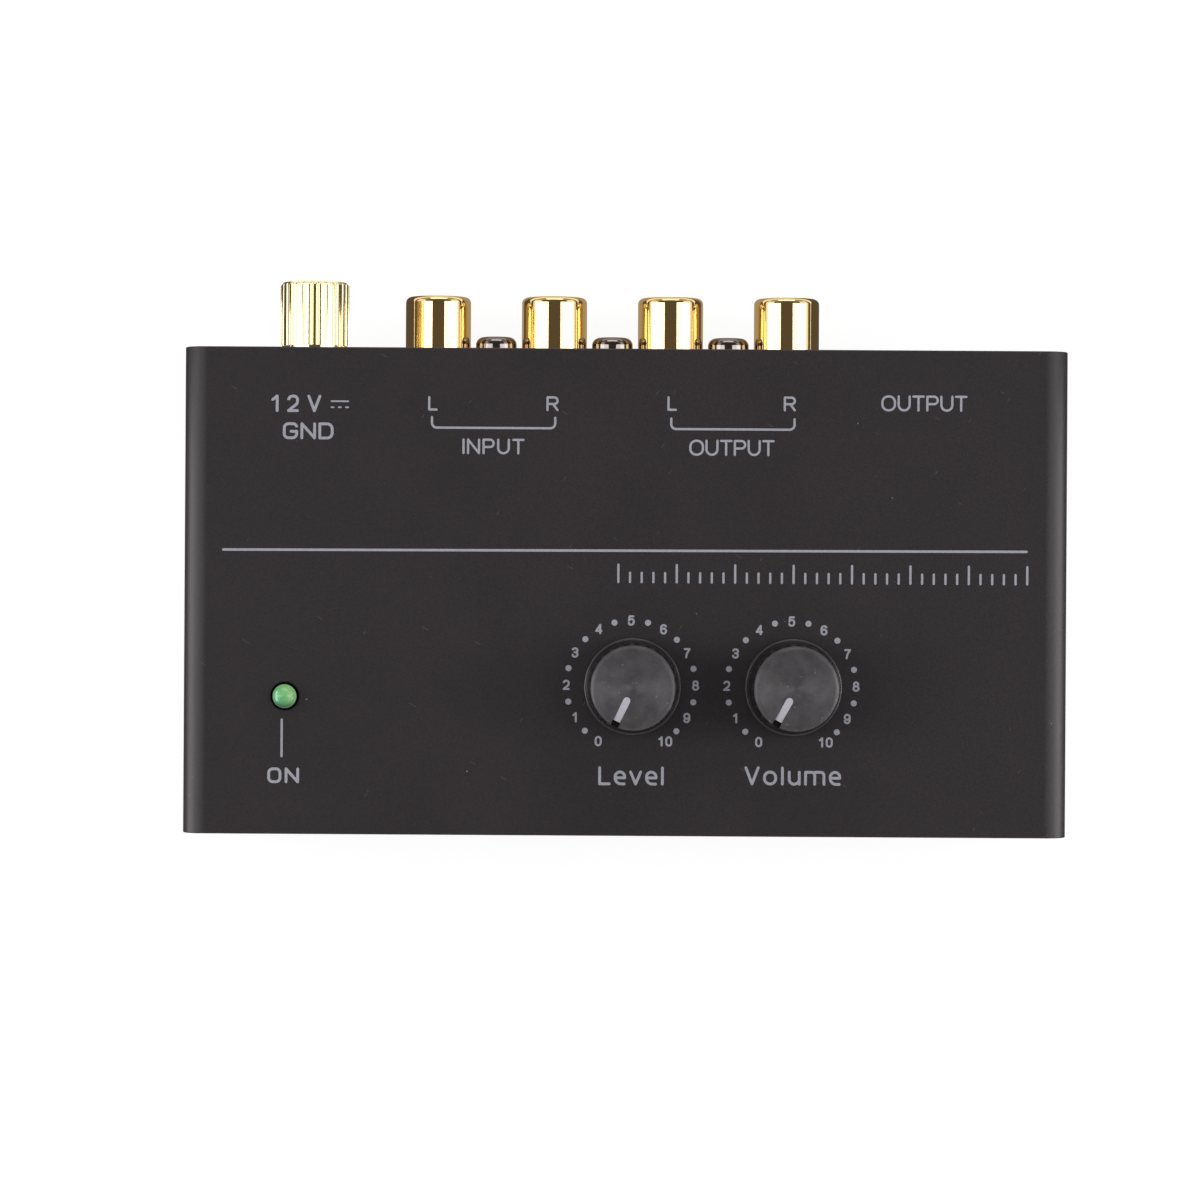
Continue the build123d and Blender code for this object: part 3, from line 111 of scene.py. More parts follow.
# ---- what a user may change --------------------------------------------------
class CaseSettings(bpy.types.PropertyGroup):
    """The folded cover and its coating."""

    sheet: length("Sheet", "Thickness of the cover's steel", 1.0)
    bend: length("Bend", "Outer radius of the cover's two long bends", 3.0)
    cut_edge: length("Cut edge", "Rounding of the cover's cut edges", 0.14)
    shaft_hole: length("Shaft hole", "Radius of the holes under the knobs", 3.7)
    light_hole: length("Light hole", "Radius of the hole round the power light", 1.74)
    screw_rim: length("Screw rim", "Radius of a side screw's seat at the surface", 2.65)
    screw_throat: length("Screw throat", "Radius of a side screw's seat at its foot", 1.55)
    screw_depth: length("Screw depth", "Depth of a side screw's conical seat", 1.1)
    coat: colour("Coat", "Colour of the satin black coating", 0.0375, 0.0318, 0.0342)
    coat_roughness: share("Coat roughness", "Roughness of the coating", 0.39)
    coat_grain: length("Coat grain", "Size of the coating's grain", 0.16)


class KnobSettings(bpy.types.PropertyGroup):
    """The two knobs and their pointers."""

    taper: length("Taper", "How much wider the side is at its foot than at its top", 0.5)
    flange: length("Flange", "How far the base stands out from the side", 0.3)
    base_height: length("Base height", "Height of the flared base", 0.9)
    base_edge: length("Base edge", "Rounding of the base's upper edge", 0.24)
    lower_edge: length("Lower edge", "Rounding of the base's lower edge", 0.08)
    fillet: length("Fillet", "Rounding where the side meets the base", 0.05)
    top_edge: length("Top edge", "Rounding of the rim round the dished face", 0.6)
    dish: length("Dish", "Depth of the dished face", 0.4)
    bore: length("Bore", "Radius of the bore for the shaft", 3.03)
    boss_wall: length("Boss wall", "Wall round the bore", 1.0)
    side_wall: length("Side wall", "Thinnest part of the side", 0.5)
    bore_depth: length("Bore depth", "Depth of the bore", 8.0)
    hollow_depth: length("Hollow depth", "Depth of the ring-shaped hollow", 6.0)
    groove_gap: length("Groove gap", "Gap between the pointer and its groove", 0.05)
    plastic: colour("Plastic", "Colour of the moulding", 0.069, 0.065, 0.070)
    face_roughness: share("Face roughness", "Roughness of the dished face", 0.36)
    side_roughness: share("Side roughness", "Roughness of the side and the base", 0.20)
    # the side's darkness against the flange is painted shade
    side_shade: share("Side shade", "Brightness of the side against the flange", 0.07)
    mark_pitch: length("Mark pitch", "Distance between the face's turning marks", 0.09)
    mark_depth: length("Mark depth", "Depth of the face's turning marks", 0.0045)
    pointer: colour("Pointer", "Colour of the inlaid bar", 0.52, 0.51, 0.57)


class SocketSettings(bpy.types.PropertyGroup):
    """The phono sockets."""

    wall: length("Wall", "Thickness of a barrel's wall", 0.4)
    rim: length("Rim", "Rounding of the barrel's rolled mouth", 0.75)
    shoulder_proud: length("Shoulder", "From the rear panel to the barrel's shoulder", 0.3)
    shoulder: length("Root step", "How much narrower the seated root is", 0.25)
    shoulder_edge: length("Shoulder edge", "Rounding of the barrel's shoulder", 0.1)
    core_recess: length("Core recess", "From the barrel's mouth to its core", 0.5)
    core_edge: length("Core edge", "Rounding of the core's face", 0.25)
    mouth: length("Mouth", "Radius of the core's mouth", 1.75)
    contact_seat: length("Contact seat", "Radius of the hole behind the mouth", 2.1)
    lip: length("Lip", "Thickness of the core in front of the contact", 1.0)
    ring: length("Ring", "Width of the sunk ring round the core's mouth", 0.75)
    ring_depth: length("Ring depth", "Depth of the sunk ring and width of its slope", 0.15)
    gold: colour("Gold", "Colour of the polished plating", 1.0, 0.74, 0.34)
    white: colour("White", "Colour of the left sockets' cores", 0.80, 0.79, 0.75)
    red: colour("Red", "Colour of the right sockets' cores", 0.55, 0.025, 0.02)


class GroundSettings(bpy.types.PropertyGroup):
    """The ground terminal's thumb nut."""

    ribs: IntProperty(name="Ribs", description="Number of grooves round the nut", default=29, min=6)
    groove: length("Groove", "Radius of each groove", 0.26)
    edge: length("Edge", "Chamfer at the nut's outer end", 0.4)
    bore: length("Bore", "Radius of the nut's bore", 2.05)
    cap: length("Cap", "Thickness of the closed end", 1.6)
    dimple: length("Dimple", "Radius of the sunk middle of the closed end", 3.0)
    dimple_depth: length("Dimple depth", "Depth of the sunk middle and width of its slope", 0.15)
    pale_gold: colour("Pale gold", "Colour of the nut's thin plating", 1.0, 0.86, 0.50)


class LightSettings(bpy.types.PropertyGroup):
    """The power light."""

    lens: length("Lens", "Radius of the domed lens", 1.5)
    flange_height: length("Flange height", "Height of the flange under the cover", 1.0)
    flange_edge: length("Flange edge", "Rounding of the flange's edges", 0.1)
    green: colour("Green", "Colour of the tinted lens at its left", 0.075, 0.42, 0.16)
    # painted light: the colour of the lens's lit right side
    yellow_green: colour("Yellow green", "Colour of the lens at its right", 0.25, 0.55, 0.19)
    # painted highlight: the pale ring inside the rim
    ring: colour("Ring", "Colour of the pale ring inside the lens's rim", 0.55, 0.75, 0.50)
    # painted shade: the dark line of the gap round the lens
    gap: colour("Gap", "Colour of the dark line round the lens", 0.001, 0.006, 0.002)
    glow: strength("Glow", "Strength of the light's glow", 0.14)


class ScrewSettings(bpy.types.PropertyGroup):
    """The screws that show, and the feet."""

    shank: length("Shank", "Radius of a screw's shank", 1.5)
    edge: length("Edge", "Chamfer at the shank's tip and the head's rim", 0.12)
    dome: length("Dome", "Rounding of a socket screw's head", 1.0)
    cross_length: length("Cross length", "Length of each arm pair of the recess", 2.6)
    cross_width: length("Cross width", "Width of the recess's arms", 0.6)
    cross_depth: length("Cross depth", "Depth of the recess", 0.8)
    foot_edge: length("Foot edge", "Rounding of a foot's lower edge", 0.5)
    foot_draft: length("Foot draft", "How much narrower a foot is at its floor", 0.25)
    black_nickel: colour("Black nickel", "Colour of the screws' plating", 0.27, 0.235, 0.225)
    rubber: colour("Rubber", "Colour of the feet", 0.020, 0.020, 0.020)


class LegendSettings(bpy.types.PropertyGroup):
    """The printing on the cover."""

    ink: colour("Ink", "Colour of the printing", 0.39, 0.395, 0.45)
    ink_proud: length("Ink thickness", "How far the ink stands on the cover", 0.02)
    ink_sunk: length("Ink key", "How far the ink reaches into the coating", 0.01)
    bold: length("Bold stroke", "Stroke of the wide words", 0.35)
    thin: length("Thin stroke", "Stroke of the plain words and brackets", 0.28)
    fine: length("Fine stroke", "Stroke of the direct current sign", 0.20)
    numeral: length("Numeral stroke", "Stroke of the dials' numbers", 0.25)
    numeral_height: length("Numeral height", "Height of the dials' numbers", 1.28)
    dial: length("Dial radius", "From a knob's axis to its dots and numbers", 8.03)
    dot: length("Dot", "Radius of a dial's dot", 0.38)
    rule: length("Rule", "Stroke of the long line", 0.31)


class PartSettings(bpy.types.PropertyGroup):
    """The circuit board, the components and the connectors."""

    tin: colour("Tin", "Colour of tinned leads and tabs", 0.66, 0.66, 0.64)
    bronze: colour("Bronze", "Colour of the springs and wipers", 0.70, 0.50, 0.30)
    nickel: colour("Nickel", "Colour of nickel plate", 0.66, 0.64, 0.60)
    brass: colour("Brass", "Colour of the board's spacers", 0.72, 0.52, 0.24)
    steel: colour("Steel", "Colour of the board's screws", 0.60, 0.60, 0.58)
    shaft: colour("Shaft", "Colour of the controls' shafts", 0.70, 0.70, 0.70)
    bushing: colour("Bushing", "Colour of the controls' bushings", 0.58, 0.58, 0.57)
    aluminium: colour("Aluminium", "Colour of the tall capacitors' tops", 0.72, 0.72, 0.70)
    black: colour("Black", "Colour of the sockets' housings", 0.022, 0.022, 0.023)
    chip: colour("Chip", "Colour of the chips and the regulator", 0.025, 0.025, 0.027)
    housing: colour("Housing", "Colour of the controls' housings", 0.03, 0.10, 0.13)
    wafer: colour("Wafer", "Colour of the controls' wafers", 0.22, 0.11, 0.04)
    nylon: colour("Nylon", "Colour of the light's spacer", 0.75, 0.74, 0.70)
    sleeve: colour("Sleeve", "Colour of the tall capacitors' sleeves", 0.015, 0.02, 0.06)
    stripe: colour("Stripe", "Colour of the stripe on the sleeves", 0.42, 0.43, 0.45)
    film: colour("Film", "Colour of the film capacitors", 0.45, 0.05, 0.03)
    ceramic: colour("Ceramic", "Colour of the ceramic capacitors", 0.60, 0.30, 0.08)
    resistor: colour("Resistor", "Colour of the resistors", 0.12, 0.33, 0.50)
    diode: colour("Diode", "Colour of the diode", 0.03, 0.03, 0.03)
    wire: colour("Wire", "Colour of the ground wire", 0.04, 0.25, 0.07)
    mask: colour("Mask", "Colour of the board's solder mask", 0.016, 0.13, 0.045)
    pour: colour("Pour", "Colour of the mask over wide copper", 0.018, 0.15, 0.055)
    track: colour("Track", "Colour of the mask over tracks", 0.04, 0.26, 0.09)


class WearSettings(bpy.types.PropertyGroup):
    """Dust, lint, scratches and worn edges."""

    dust: colour("Dust", "Colour of the dust", 0.36, 0.34, 0.32)
    dust_spacing: length("Dust spacing", "Distance between specks of dust", 2.2)
    dust_size: length("Dust size", "Radius of the largest speck of dust", 0.16)
    dust_cover: share("Dust cover", "How well dust and lint cover what they lie on", 0.45)
    dust_roughness: share("Dust roughness", "Roughness of the dust", 0.9)
    lint: colour("Lint", "Colour of the lint on the knobs' faces", 0.34, 0.33, 0.33)
    lint_spacing: length("Lint spacing", "Distance between specks of lint", 0.42)
    lint_size: length("Lint size", "Radius of the largest speck of lint", 0.10)
    lint_share: share("Lint share", "Share of the places that hold lint", 0.22)
    worn: colour("Worn", "Colour of the coating's worn edges", 0.20, 0.17, 0.15)
    worn_width: length("Worn width", "How far the wear reaches from an edge", 0.22)
    worn_strength: share("Worn strength", "How strongly the worn edges show", 0.35)
    scratch: colour("Scratch", "Colour of the coating's scratches", 0.30, 0.27, 0.25)
    scratch_width: length("Scratch width", "Half the width of the coating's scratches", 0.03)
    scratch_strength: share("Scratch strength", "How strongly the scratches show", 0.22)


class StageSettings(bpy.types.PropertyGroup):
    """Floor, lamps and camera."""

    camera_x: FloatProperty(
        name="Camera X", description="Camera's place across", default=-3.16 * MM,
        precision=5, subtype="DISTANCE", unit="LENGTH",
    )
    camera_y: FloatProperty(
        name="Camera Y", description="Camera's place front to back", default=-5.15 * MM,
        precision=5, subtype="DISTANCE", unit="LENGTH",
    )
    camera_rise: length("Camera rise", "Camera's height above the cover", 565.0)
    camera_roll: turn_by("Camera roll", "Turn of the camera about the view's axis", 0.35)
    view_width: length("View width", "Width of the picture at the cover's top", 148.94)
    floor: colour("Floor", "Colour of the floor", 0.80, 0.80, 0.80)
    card: colour("Card", "Shade of the dark cards", 0.10, 0.085, 0.07)
    end_glow: strength("End glow", "Brightness of the grey cards against the dark ones", 4.0)
    card_glow: strength("Card glow", "Brightness of the pale cards beside the bends", 5.2)
    floor_glow: share("Floor glow", "White that the floor adds of its own", 0.885)
    floor_shade: share("Floor shade", "How much of the lamps' light the floor shows", 0.22)
    ambient: share("Ambient", "Strength of the light from all round", 0.45)
    left_lamp: strength("Left lamp", "Power of the left softbox in watts", 1.35)
    right_lamp: strength("Right lamp", "Power of the right softbox in watts", 1.35)
    rear_lamp: strength("Rear lamp", "Power of the rear softbox in watts", 1.2)


SETTINGS = {
    "preamp_case": CaseSettings,
    "preamp_knobs": KnobSettings,
    "preamp_sockets": SocketSettings,
    "preamp_ground": GroundSettings,
    "preamp_light": LightSettings,
    "preamp_screws": ScrewSettings,
    "preamp_legends": LegendSettings,
    "preamp_parts": PartSettings,
    "preamp_wear": WearSettings,
    "preamp_stage": StageSettings,
}


# ---- outlines ----------------------------------------------------------------
def corner_arc(before, corner, after, radius, step, room):
    """Points of the arc that rounds a corner, within its room on the two sides."""
    back, on = before - corner, after - corner
    half = back.angle(on) / 2
    reach = min(radius / math.tan(half), back.length * room[0], on.length * room[1])
    radius = reach * math.tan(half)
    start, end = corner + back.normalized() * reach, corner + on.normalized() * reach
    centre = corner + (back.normalized() + on.normalized()).normalized() * (radius / math.sin(half))
    sweep = math.pi - 2 * half
    count = max(2, math.ceil(sweep / step))
    first, last = start - centre, end - centre
    turn = 1 if first.cross(last) > 0 else -1
    return [
        centre + Matrix.Rotation(turn * sweep * n / count, 2) @ first
        for n in range(count + 1)
    ]


def rounded(corners, closed=False, step=math.radians(12)):
    """Points of an outline. A corner is (x, y), or (x, y, radius) where an arc rounds it."""
    flat = [Vector(c[:2]) for c in corners]
    radii = [c[2] if len(c) > 2 else 0.0 for c in corners]
    points = []
    for n, corner in enumerate(flat):
        inner = closed or 0 < n < len(flat) - 1
        if radii[n] > 0 and inner:
            near, far = n - 1, (n + 1) % len(flat)
            room = [1.0 if radii[m] == 0 else 0.5 for m in (near, far)]
            points += corner_arc(flat[near], corner, flat[far], radii[n], step, room)
        else:
            points.append(corner)
    return points


# ---- meshes --------------------------------------------------------------------
def upright(x, y):
    """The frame of something that stands on end, with its own +Z up."""
    return Matrix.Translation((x, y, 0))


def backward(x, z):
    """The frame of something that lies front to back, with its own +Z towards the rear."""
    return Matrix.Translation((x, 0, z)) @ Matrix.Rotation(-math.pi / 2, 4, "X")


def sideways(side, x, y, z):
    """The frame of something that points out of the left or right, its own +Z outward."""
    return Matrix.Translation((x, y, z)) @ Matrix.Rotation(side * math.pi / 2, 4, "Y")


def bridge(bm, lower, upper):
    """Faces between two rings, either of which may be one point."""
    count = max(len(lower), len(upper))
    for n in range(count):
        m = (n + 1) % count
        corners = [
            lower[n % len(lower)], lower[m % len(lower)],
            upper[m % len(upper)], upper[n % len(upper)],
        ]
        bm.faces.new(list(dict.fromkeys(corners)))


def bridge_all(bm, rings):
    """Faces from each ring to the next."""
    for lower, upper in zip(rings, rings[1:]):
        bridge(bm, lower, upper)


ON_AXIS = 1e-7  # a ring of less than this radius is one point


def circle(bm, place, radius, along, turns):
    """The points of one ring of a turned body. A radius of 0 is one point on the axis."""
    steps = 1 if radius < ON_AXIS else turns
    angles = [2 * math.pi * n / steps for n in range(steps)]
    return [
        bm.verts.new(place @ Vector((radius * math.cos(a), radius * math.sin(a), along)))
        for a in angles
    ]


def turned(bm, outline, place, closed=False, turns=96):
    """A turned body from (radius, along) points."""
    rings = [circle(bm, place, radius, along, turns) for radius, along in outline]
    bridge_all(bm, rings)
    if closed:
        bridge(bm, rings[-1], rings[0])


def prism(bm, outline, place, low, high):
    """A body of one outline between two heights of its place."""
    ends = [
        [bm.verts.new(place @ Vector((p[0], p[1], along))) for p in outline]
        for along in (low, high)
    ]
    bridge(bm, *ends)
    for end in ends:
        bm.faces.new(end)


def smoothed(mesh, below):
    """A mesh that is smooth across its edges of less than so many degrees."""
    mesh.shade_smooth()
    mesh.set_sharp_from_angle(angle=math.radians(below))
    return mesh


def mesh_from(bm, name, smooth_below=32):
    """A finished mesh, smooth across its shallow edges."""
    bmesh.ops.recalc_face_normals(bm, faces=bm.faces[:])
    mesh = bpy.data.meshes.new(name)
    bm.to_mesh(mesh)
    bm.free()
    return smoothed(mesh, smooth_below)


def object_from(mesh, name):
    """An object of a mesh, in the scene."""
    made = bpy.data.objects.new(name, mesh)
    bpy.context.scene.collection.objects.link(made)
    return made


def with_modifiers(mesh, name, *modifiers):
    """The mesh that a mesh becomes under modifiers, each given as its type and settings."""
    work = object_from(mesh, name + "_work")
    for kind, settings in modifiers:
        modifier = work.modifiers.new(kind.lower(), kind)
        for key, value in settings.items():
            setattr(modifier, key, value)
    bpy.context.view_layer.update()
    depsgraph = bpy.context.evaluated_depsgraph_get()
    made = bpy.data.meshes.new_from_object(work.evaluated_get(depsgraph))
    bpy.data.objects.remove(work)
    return made


def cut_from(mesh, cutter_bm, name, crossing=False):
    """A mesh less the cutter's bodies. crossing says that bodies may cross one another."""
    cutter = object_from(mesh_from(cutter_bm, name + "_cutter"), name + "_cutter")
    made = with_modifiers(mesh, name, ("BOOLEAN", {
        "operation": "DIFFERENCE", "solver": "EXACT", "use_self": crossing, "object": cutter,
    }))
    bpy.data.objects.remove(cutter)
    return made


def softened(mesh, name, width):
    """A mesh with its sharp edges rounded a little."""
    settings = {
        "width": width, "segments": 2, "limit_method": "ANGLE",
        "angle_limit": math.radians(40), "miter_outer": "MITER_ARC",
    }
    mesh.shade_smooth()
    return with_modifiers(mesh, name, ("BEVEL", settings), ("WEIGHTED_NORMAL", {"weight": 100}))


def piece(name, mesh, material, body, replaces=()):
    """A finished piece, riding on its body and standing for its nodes."""
    mesh.materials.clear()
    mesh.materials.append(material)
    made = object_from(mesh, name)
    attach(made, body)
    if replaces:
        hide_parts(*replaces)


def box_sizes(node):
    """A node's low corner, high corner and middle."""
    low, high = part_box(node)
    return low, high, (low + high) / 2


# ---- shader graphs ---------------------------------------------------------------
# the Mix node's sockets for colours: its factor and two colours, then its output
MIX_INPUTS, MIX_OUTPUT = (0, 6, 7), 2


class Graph:
    """Adds nodes to one node tree."""

    def __init__(self, tree):
        self.tree = tree

    def feed(self, socket, value):
        """Links a socket to the value, or sets it."""
        if isinstance(value, bpy.types.NodeSocket):
            self.tree.links.new(value, socket)
        elif socket.type == "RGBA" and len(value) == 3:
            socket.default_value = (*value, 1.0)
        else:
            socket.default_value = value

    def add(self, kind, inputs=None, **settings):
        """A shader node with its settings and inputs."""
        made = self.tree.nodes.new("ShaderNode" + kind)
        for key, value in settings.items():
            setattr(made, key, value)
        for name, value in (inputs or {}).items():
            self.feed(made.inputs[name], value)
        return made

    def math(self, operation, *values):
        """One sum on numbers."""
        made = self.add("Math", operation=operation)
        for socket, value in zip(made.inputs, values):
            self.feed(socket, value)
        return made.outputs[0]

    def vector(self, operation, *values):
        """One sum on vectors."""
        made = self.add("VectorMath", operation=operation)
        for socket, value in zip(made.inputs, values):
            self.feed(socket, value)
        return made.outputs[0]

    def product(self, first, second):
        """Two numbers multiplied."""
        return self.math("MULTIPLY", first, second)

    def total(self, first, second):
        """Two numbers added."""
        return self.math("ADD", first, second)

    def above(self, value, limit):
        """1 where a value is greater than a limit, and 0 elsewhere."""
        return self.math("GREATER_THAN", value, limit)

    def below(self, value, limit):
        """1 where a value is less than a limit, and 0 elsewhere."""
        return self.math("LESS_THAN", value, limit)

    def radius(self, x, y):
        """The distance of a place from the origin."""
        return self.math("SQRT", self.total(self.product(x, x), self.product(y, y)))

    def mix(self, factor, first, second):
        """A colour between two."""
        made = self.add("Mix", data_type="RGBA")
        for index, value in zip(MIX_INPUTS, (factor, first, second)):
            self.feed(made.inputs[index], value)
        return made.outputs[MIX_OUTPUT]

    def spread(self, value, low, high, new_low=0.0, new_high=1.0):
        """A value taken from one range to another, and kept there."""
        names = ("Value", "From Min", "From Max", "To Min", "To Max")
        inputs = dict(zip(names, (value, low, high, new_low, new_high)))
        return self.add("MapRange", inputs, interpolation_type="SMOOTHSTEP").outputs[0]

    def axes(self, vector):
        """The three parts of a vector."""
        return self.add("SeparateXYZ", {"Vector": vector}).outputs

    def here(self):
        """The point of the surface, in the frame at rest."""
        return self.add("TexCoord").outputs["Object"]

    def facing(self):
        """The surface's direction, in the frame at rest."""
        return self.add("TexCoord").outputs["Normal"]

    def effect(self, name, **inputs):
        """One of the shared effects. Its input names have underscores for spaces here."""
        made = self.add("Group", node_tree=bpy.data.node_groups[name])
        for key, value in inputs.items():
            self.feed(made.inputs[key.replace("_", " ")], value)
        return made.outputs[0]


FLOAT, VECTOR = "NodeSocketFloat", "NodeSocketVector"


def effect_group(name, inputs):
    """A new shared effect that puts out a mask: its graph, its inputs and its output."""
    tree = bpy.data.node_groups.new(name, "ShaderNodeTree")
    for label, kind, default in inputs:
        socket = tree.interface.new_socket(label, in_out="INPUT", socket_type=kind)
        socket.default_value = default
    tree.interface.new_socket("Mask", in_out="OUTPUT", socket_type=FLOAT)
    sockets = tree.nodes.new("NodeGroupInput").outputs
    return Graph(tree), sockets, tree.nodes.new("NodeGroupOutput").inputs[0]


NOISE_LOW, NOISE_HIGH = 0.25, 0.75  # the range that most of the noise is in


def grain_effect():
    """Soft noise of one grain size, from 0 to 1."""
    g, given, out = effect_group("fine_grain", [("Size", FLOAT, 0.2 * MM), ("Detail", FLOAT, 3.0)])
    scale = g.math("DIVIDE", 1.0, given["Size"])
    noise = g.add("TexNoise", {"Vector": g.here(), "Scale": scale, "Detail": given["Detail"]})
    g.feed(out, g.spread(noise.outputs["Fac"], NOISE_LOW, NOISE_HIGH))


def speck_effect():
    """Round specks scattered over the surface."""
    inputs = [("Spacing", FLOAT, 2 * MM), ("Size", FLOAT, 0.1 * MM), ("Share", FLOAT, 0.2)]
    g, given, out = effect_group("dust_specks", inputs)
    scale = g.math("DIVIDE", 1.0, given["Spacing"])
    cells = g.add("TexVoronoi", {"Vector": g.here(), "Scale": scale})
    chance, girth, _ = g.axes(cells.outputs["Color"])
    reach = g.product(g.math("DIVIDE", given["Size"], given["Spacing"]), girth)
    near = g.below(cells.outputs["Distance"], reach)
    g.feed(out, g.product(near, g.below(chance, given["Share"])))


SCRATCH_CELL_LENGTH = 2.5  # the length of a scratch's cell against the cell's width
SCRATCH_HALF_LENGTH = 0.4  # half a scratch's length as a share of its cell's


def scratch_effect():
    """Fine straight scratches at one angle.

    Length is the length of their cells, and Width is half a scratch's width.
    """
    inputs = [
        ("Length", FLOAT, 4 * MM), ("Width", FLOAT, 0.03 * MM),
        ("Share", FLOAT, 0.2), ("Angle", FLOAT, 0.5),
    ]
    g, given, out = effect_group("hair_scratches", inputs)
    turn = {"Vector": g.here(), "Angle": given["Angle"]}
    spun = g.add("VectorRotate", turn, rotation_type="Z_AXIS")
    along = g.math("DIVIDE", 1.0, given["Length"])
    across = g.math("DIVIDE", SCRATCH_CELL_LENGTH, given["Length"])
    stretch = g.add("CombineXYZ", {"X": along, "Y": across, "Z": across})
    point = g.vector("MULTIPLY", spun.outputs[0], stretch.outputs[0])
    cells = g.add("TexVoronoi", {"Vector": point, "Scale": 1.0})
    offset = g.axes(g.vector("SUBTRACT", point, cells.outputs["Position"]))
    near_line = g.below(g.math("ABSOLUTE", offset[1]), g.product(given["Width"], across))
    on_line = g.below(g.math("ABSOLUTE", offset[0]), SCRATCH_HALF_LENGTH)
    kept = g.below(g.axes(cells.outputs["Color"])[0], given["Share"])
    g.feed(out, g.product(g.product(near_line, on_line), kept))


def edge_effect():
    """A mask along the edges of an upright box, broken up by noise."""
    inputs = [("Low", VECTOR, (0, 0, 0)), ("High", VECTOR, (0, 0, 0)), ("Width", FLOAT, 0.3 * MM)]
    g, given, out = effect_group("box_edges", inputs)
    point = g.here()
    from_low = g.vector("SUBTRACT", point, given["Low"])
    from_high = g.vector("SUBTRACT", given["High"], point)
    x, y, z = g.axes(g.vector("MINIMUM", from_low, from_high))
    least = g.math("MINIMUM", g.math("MINIMUM", x, y), z)
    most = g.math("MAXIMUM", g.math("MAXIMUM", x, y), z)
    middle = g.math("SUBTRACT", g.math("SUBTRACT", g.total(g.total(x, y), z), least), most)
    near = g.spread(middle, 0.0, given["Width"], 1.0, 0.0)
    broken = g.effect("fine_grain", Size=1.3 * MM, Detail=6.0)
    g.feed(out, g.product(near, broken))


def stripe_effect():
    """A stripe between two places along one value."""
    inputs = [("Value", FLOAT, 0.0), ("Start", FLOAT, 0.0), ("End", FLOAT, 1.0)]
    g, given, out = effect_group("stripe", inputs)
    after = g.above(given["Value"], given["Start"])
    g.feed(out, g.product(after, g.below(given["Value"], given["End"])))


def make_effects():
    """Every shared effect, once."""
    if "fine_grain" not in bpy.data.node_groups:
        for make in (grain_effect, speck_effect, scratch_effect, edge_effect, stripe_effect):
            make()


# ---- finishes -------------------------------------------------------------------
FINISHES = {}
METAL_RELIEF = 0.0002 * MM
SMUDGE_GRAINS = 60  # a smudge's size against the grain's
HOLLOW_ROUGHNESS = 0.90  # roughness of the grain's low places against the high ones
CLEAR_SPOTS = -0.4  # how much glossier the clearest spot is, against the worst smudge


def chosen(group):
    """One group of the user's settings."""
    return getattr(bpy.context.scene, "preamp_" + group)


def scaled(factor, shade):
    """A colour made darker or lighter."""
    return tuple(factor * c for c in shade)


def finish(name, paint, roughness, metallic=0.0, grain=0.3 * MM, tint=0.25, relief=0.003 * MM,
           smudges=0.12, dust=0.0, height=None, **fixed):
    """A material whose colour, roughness and relief carry a grain, with dust if wanted.

    paint is a colour, or a function from the graph to a colour's socket. roughness and
    metallic may be functions too, and height one to a relief in millimetres. tint is how
    dark the grain's low places stay, and dust the share of places with a speck. fixed sets
    the shader's own sockets, with underscores for spaces.
    """
    if name in FINISHES:
        return FINISHES[name]
    make_effects()
    wear = chosen("wear")
    material = FINISHES[name] = bpy.data.materials.new(name + "_finish")
    material.use_nodes = True
    g = Graph(material.node_tree)
    shader = material.node_tree.nodes["Principled BSDF"]
    mask = g.effect("fine_grain", Size=grain, Detail=4.0)
    smudge = g.effect("fine_grain", Size=SMUDGE_GRAINS * grain, Detail=2.0)
    base = paint(g) if callable(paint) else tuple(paint)
    base = g.mix(mask, g.mix(tint, base, (0.0, 0.0, 0.0)), base)
    rough = roughness(g) if callable(roughness) else roughness
    grained = g.spread(mask, 0, 1, HOLLOW_ROUGHNESS, 1.0)
    smudged = g.spread(smudge, 0, 1, CLEAR_SPOTS * smudges, smudges)
    rough = g.product(rough, g.total(grained, smudged))
    if dust > 0:
        specks = g.effect("dust_specks", Spacing=wear.dust_spacing, Size=wear.dust_size, Share=dust)
        base = g.mix(g.product(specks, wear.dust_cover), base, tuple(wear.dust))
        rough = g.math("MAXIMUM", rough, g.product(specks, wear.dust_roughness))
    rise = g.product(mask, relief / MM)
    if height:
        rise = g.total(rise, height(g))
    bump = g.add("Bump", {"Height": rise, "Distance": MM, "Strength": 1.0})
    g.feed(shader.inputs["Base Color"], base)
    g.feed(shader.inputs["Roughness"], rough)
    g.feed(shader.inputs["Metallic"], metallic(g) if callable(metallic) else metallic)
    g.feed(shader.inputs["Normal"], bump.outputs[0])
    for key, value in fixed.items():
        g.feed(shader.inputs[key.replace("_", " ")], value)
    return material


# the scratches' cells: length, share that holds a scratch, and angle
SCRATCHES = ((1.1 * MM, 0.0015, 0.5), (0.7 * MM, 0.001, 2.2))
CLOUD_PALE = 1.10  # the coating's palest cloud against its colour


def coating():
    """Satin black powder coat, worn paler at the cut edges, with a few hair scratches."""
    s, wear = chosen("case"), chosen("wear")

    def paint(g):
        worn = g.effect("box_edges", Low=COVER_LOW, High=COVER_HIGH, Width=wear.worn_width)
        marks = [
            g.effect("hair_scratches", Length=cell, Width=wear.scratch_width, Share=part,
                     Angle=angle)
            for cell, part, angle in SCRATCHES
        ]
        cloud = g.effect("fine_grain", Size=14 * MM, Detail=3.0)
        plain = g.mix(cloud, tuple(s.coat), scaled(CLOUD_PALE, s.coat))
        marked = g.product(g.math("MAXIMUM", *marks), wear.scratch_strength)
        lined = g.mix(marked, plain, tuple(wear.scratch))
        return g.mix(g.product(worn, wear.worn_strength), lined, tuple(wear.worn))

    return finish("case_coating", paint, s.coat_roughness, grain=s.coat_grain,
                  relief=0.004 * MM, smudges=0.03, dust=0.12, Specular_IOR_Level=0.24)


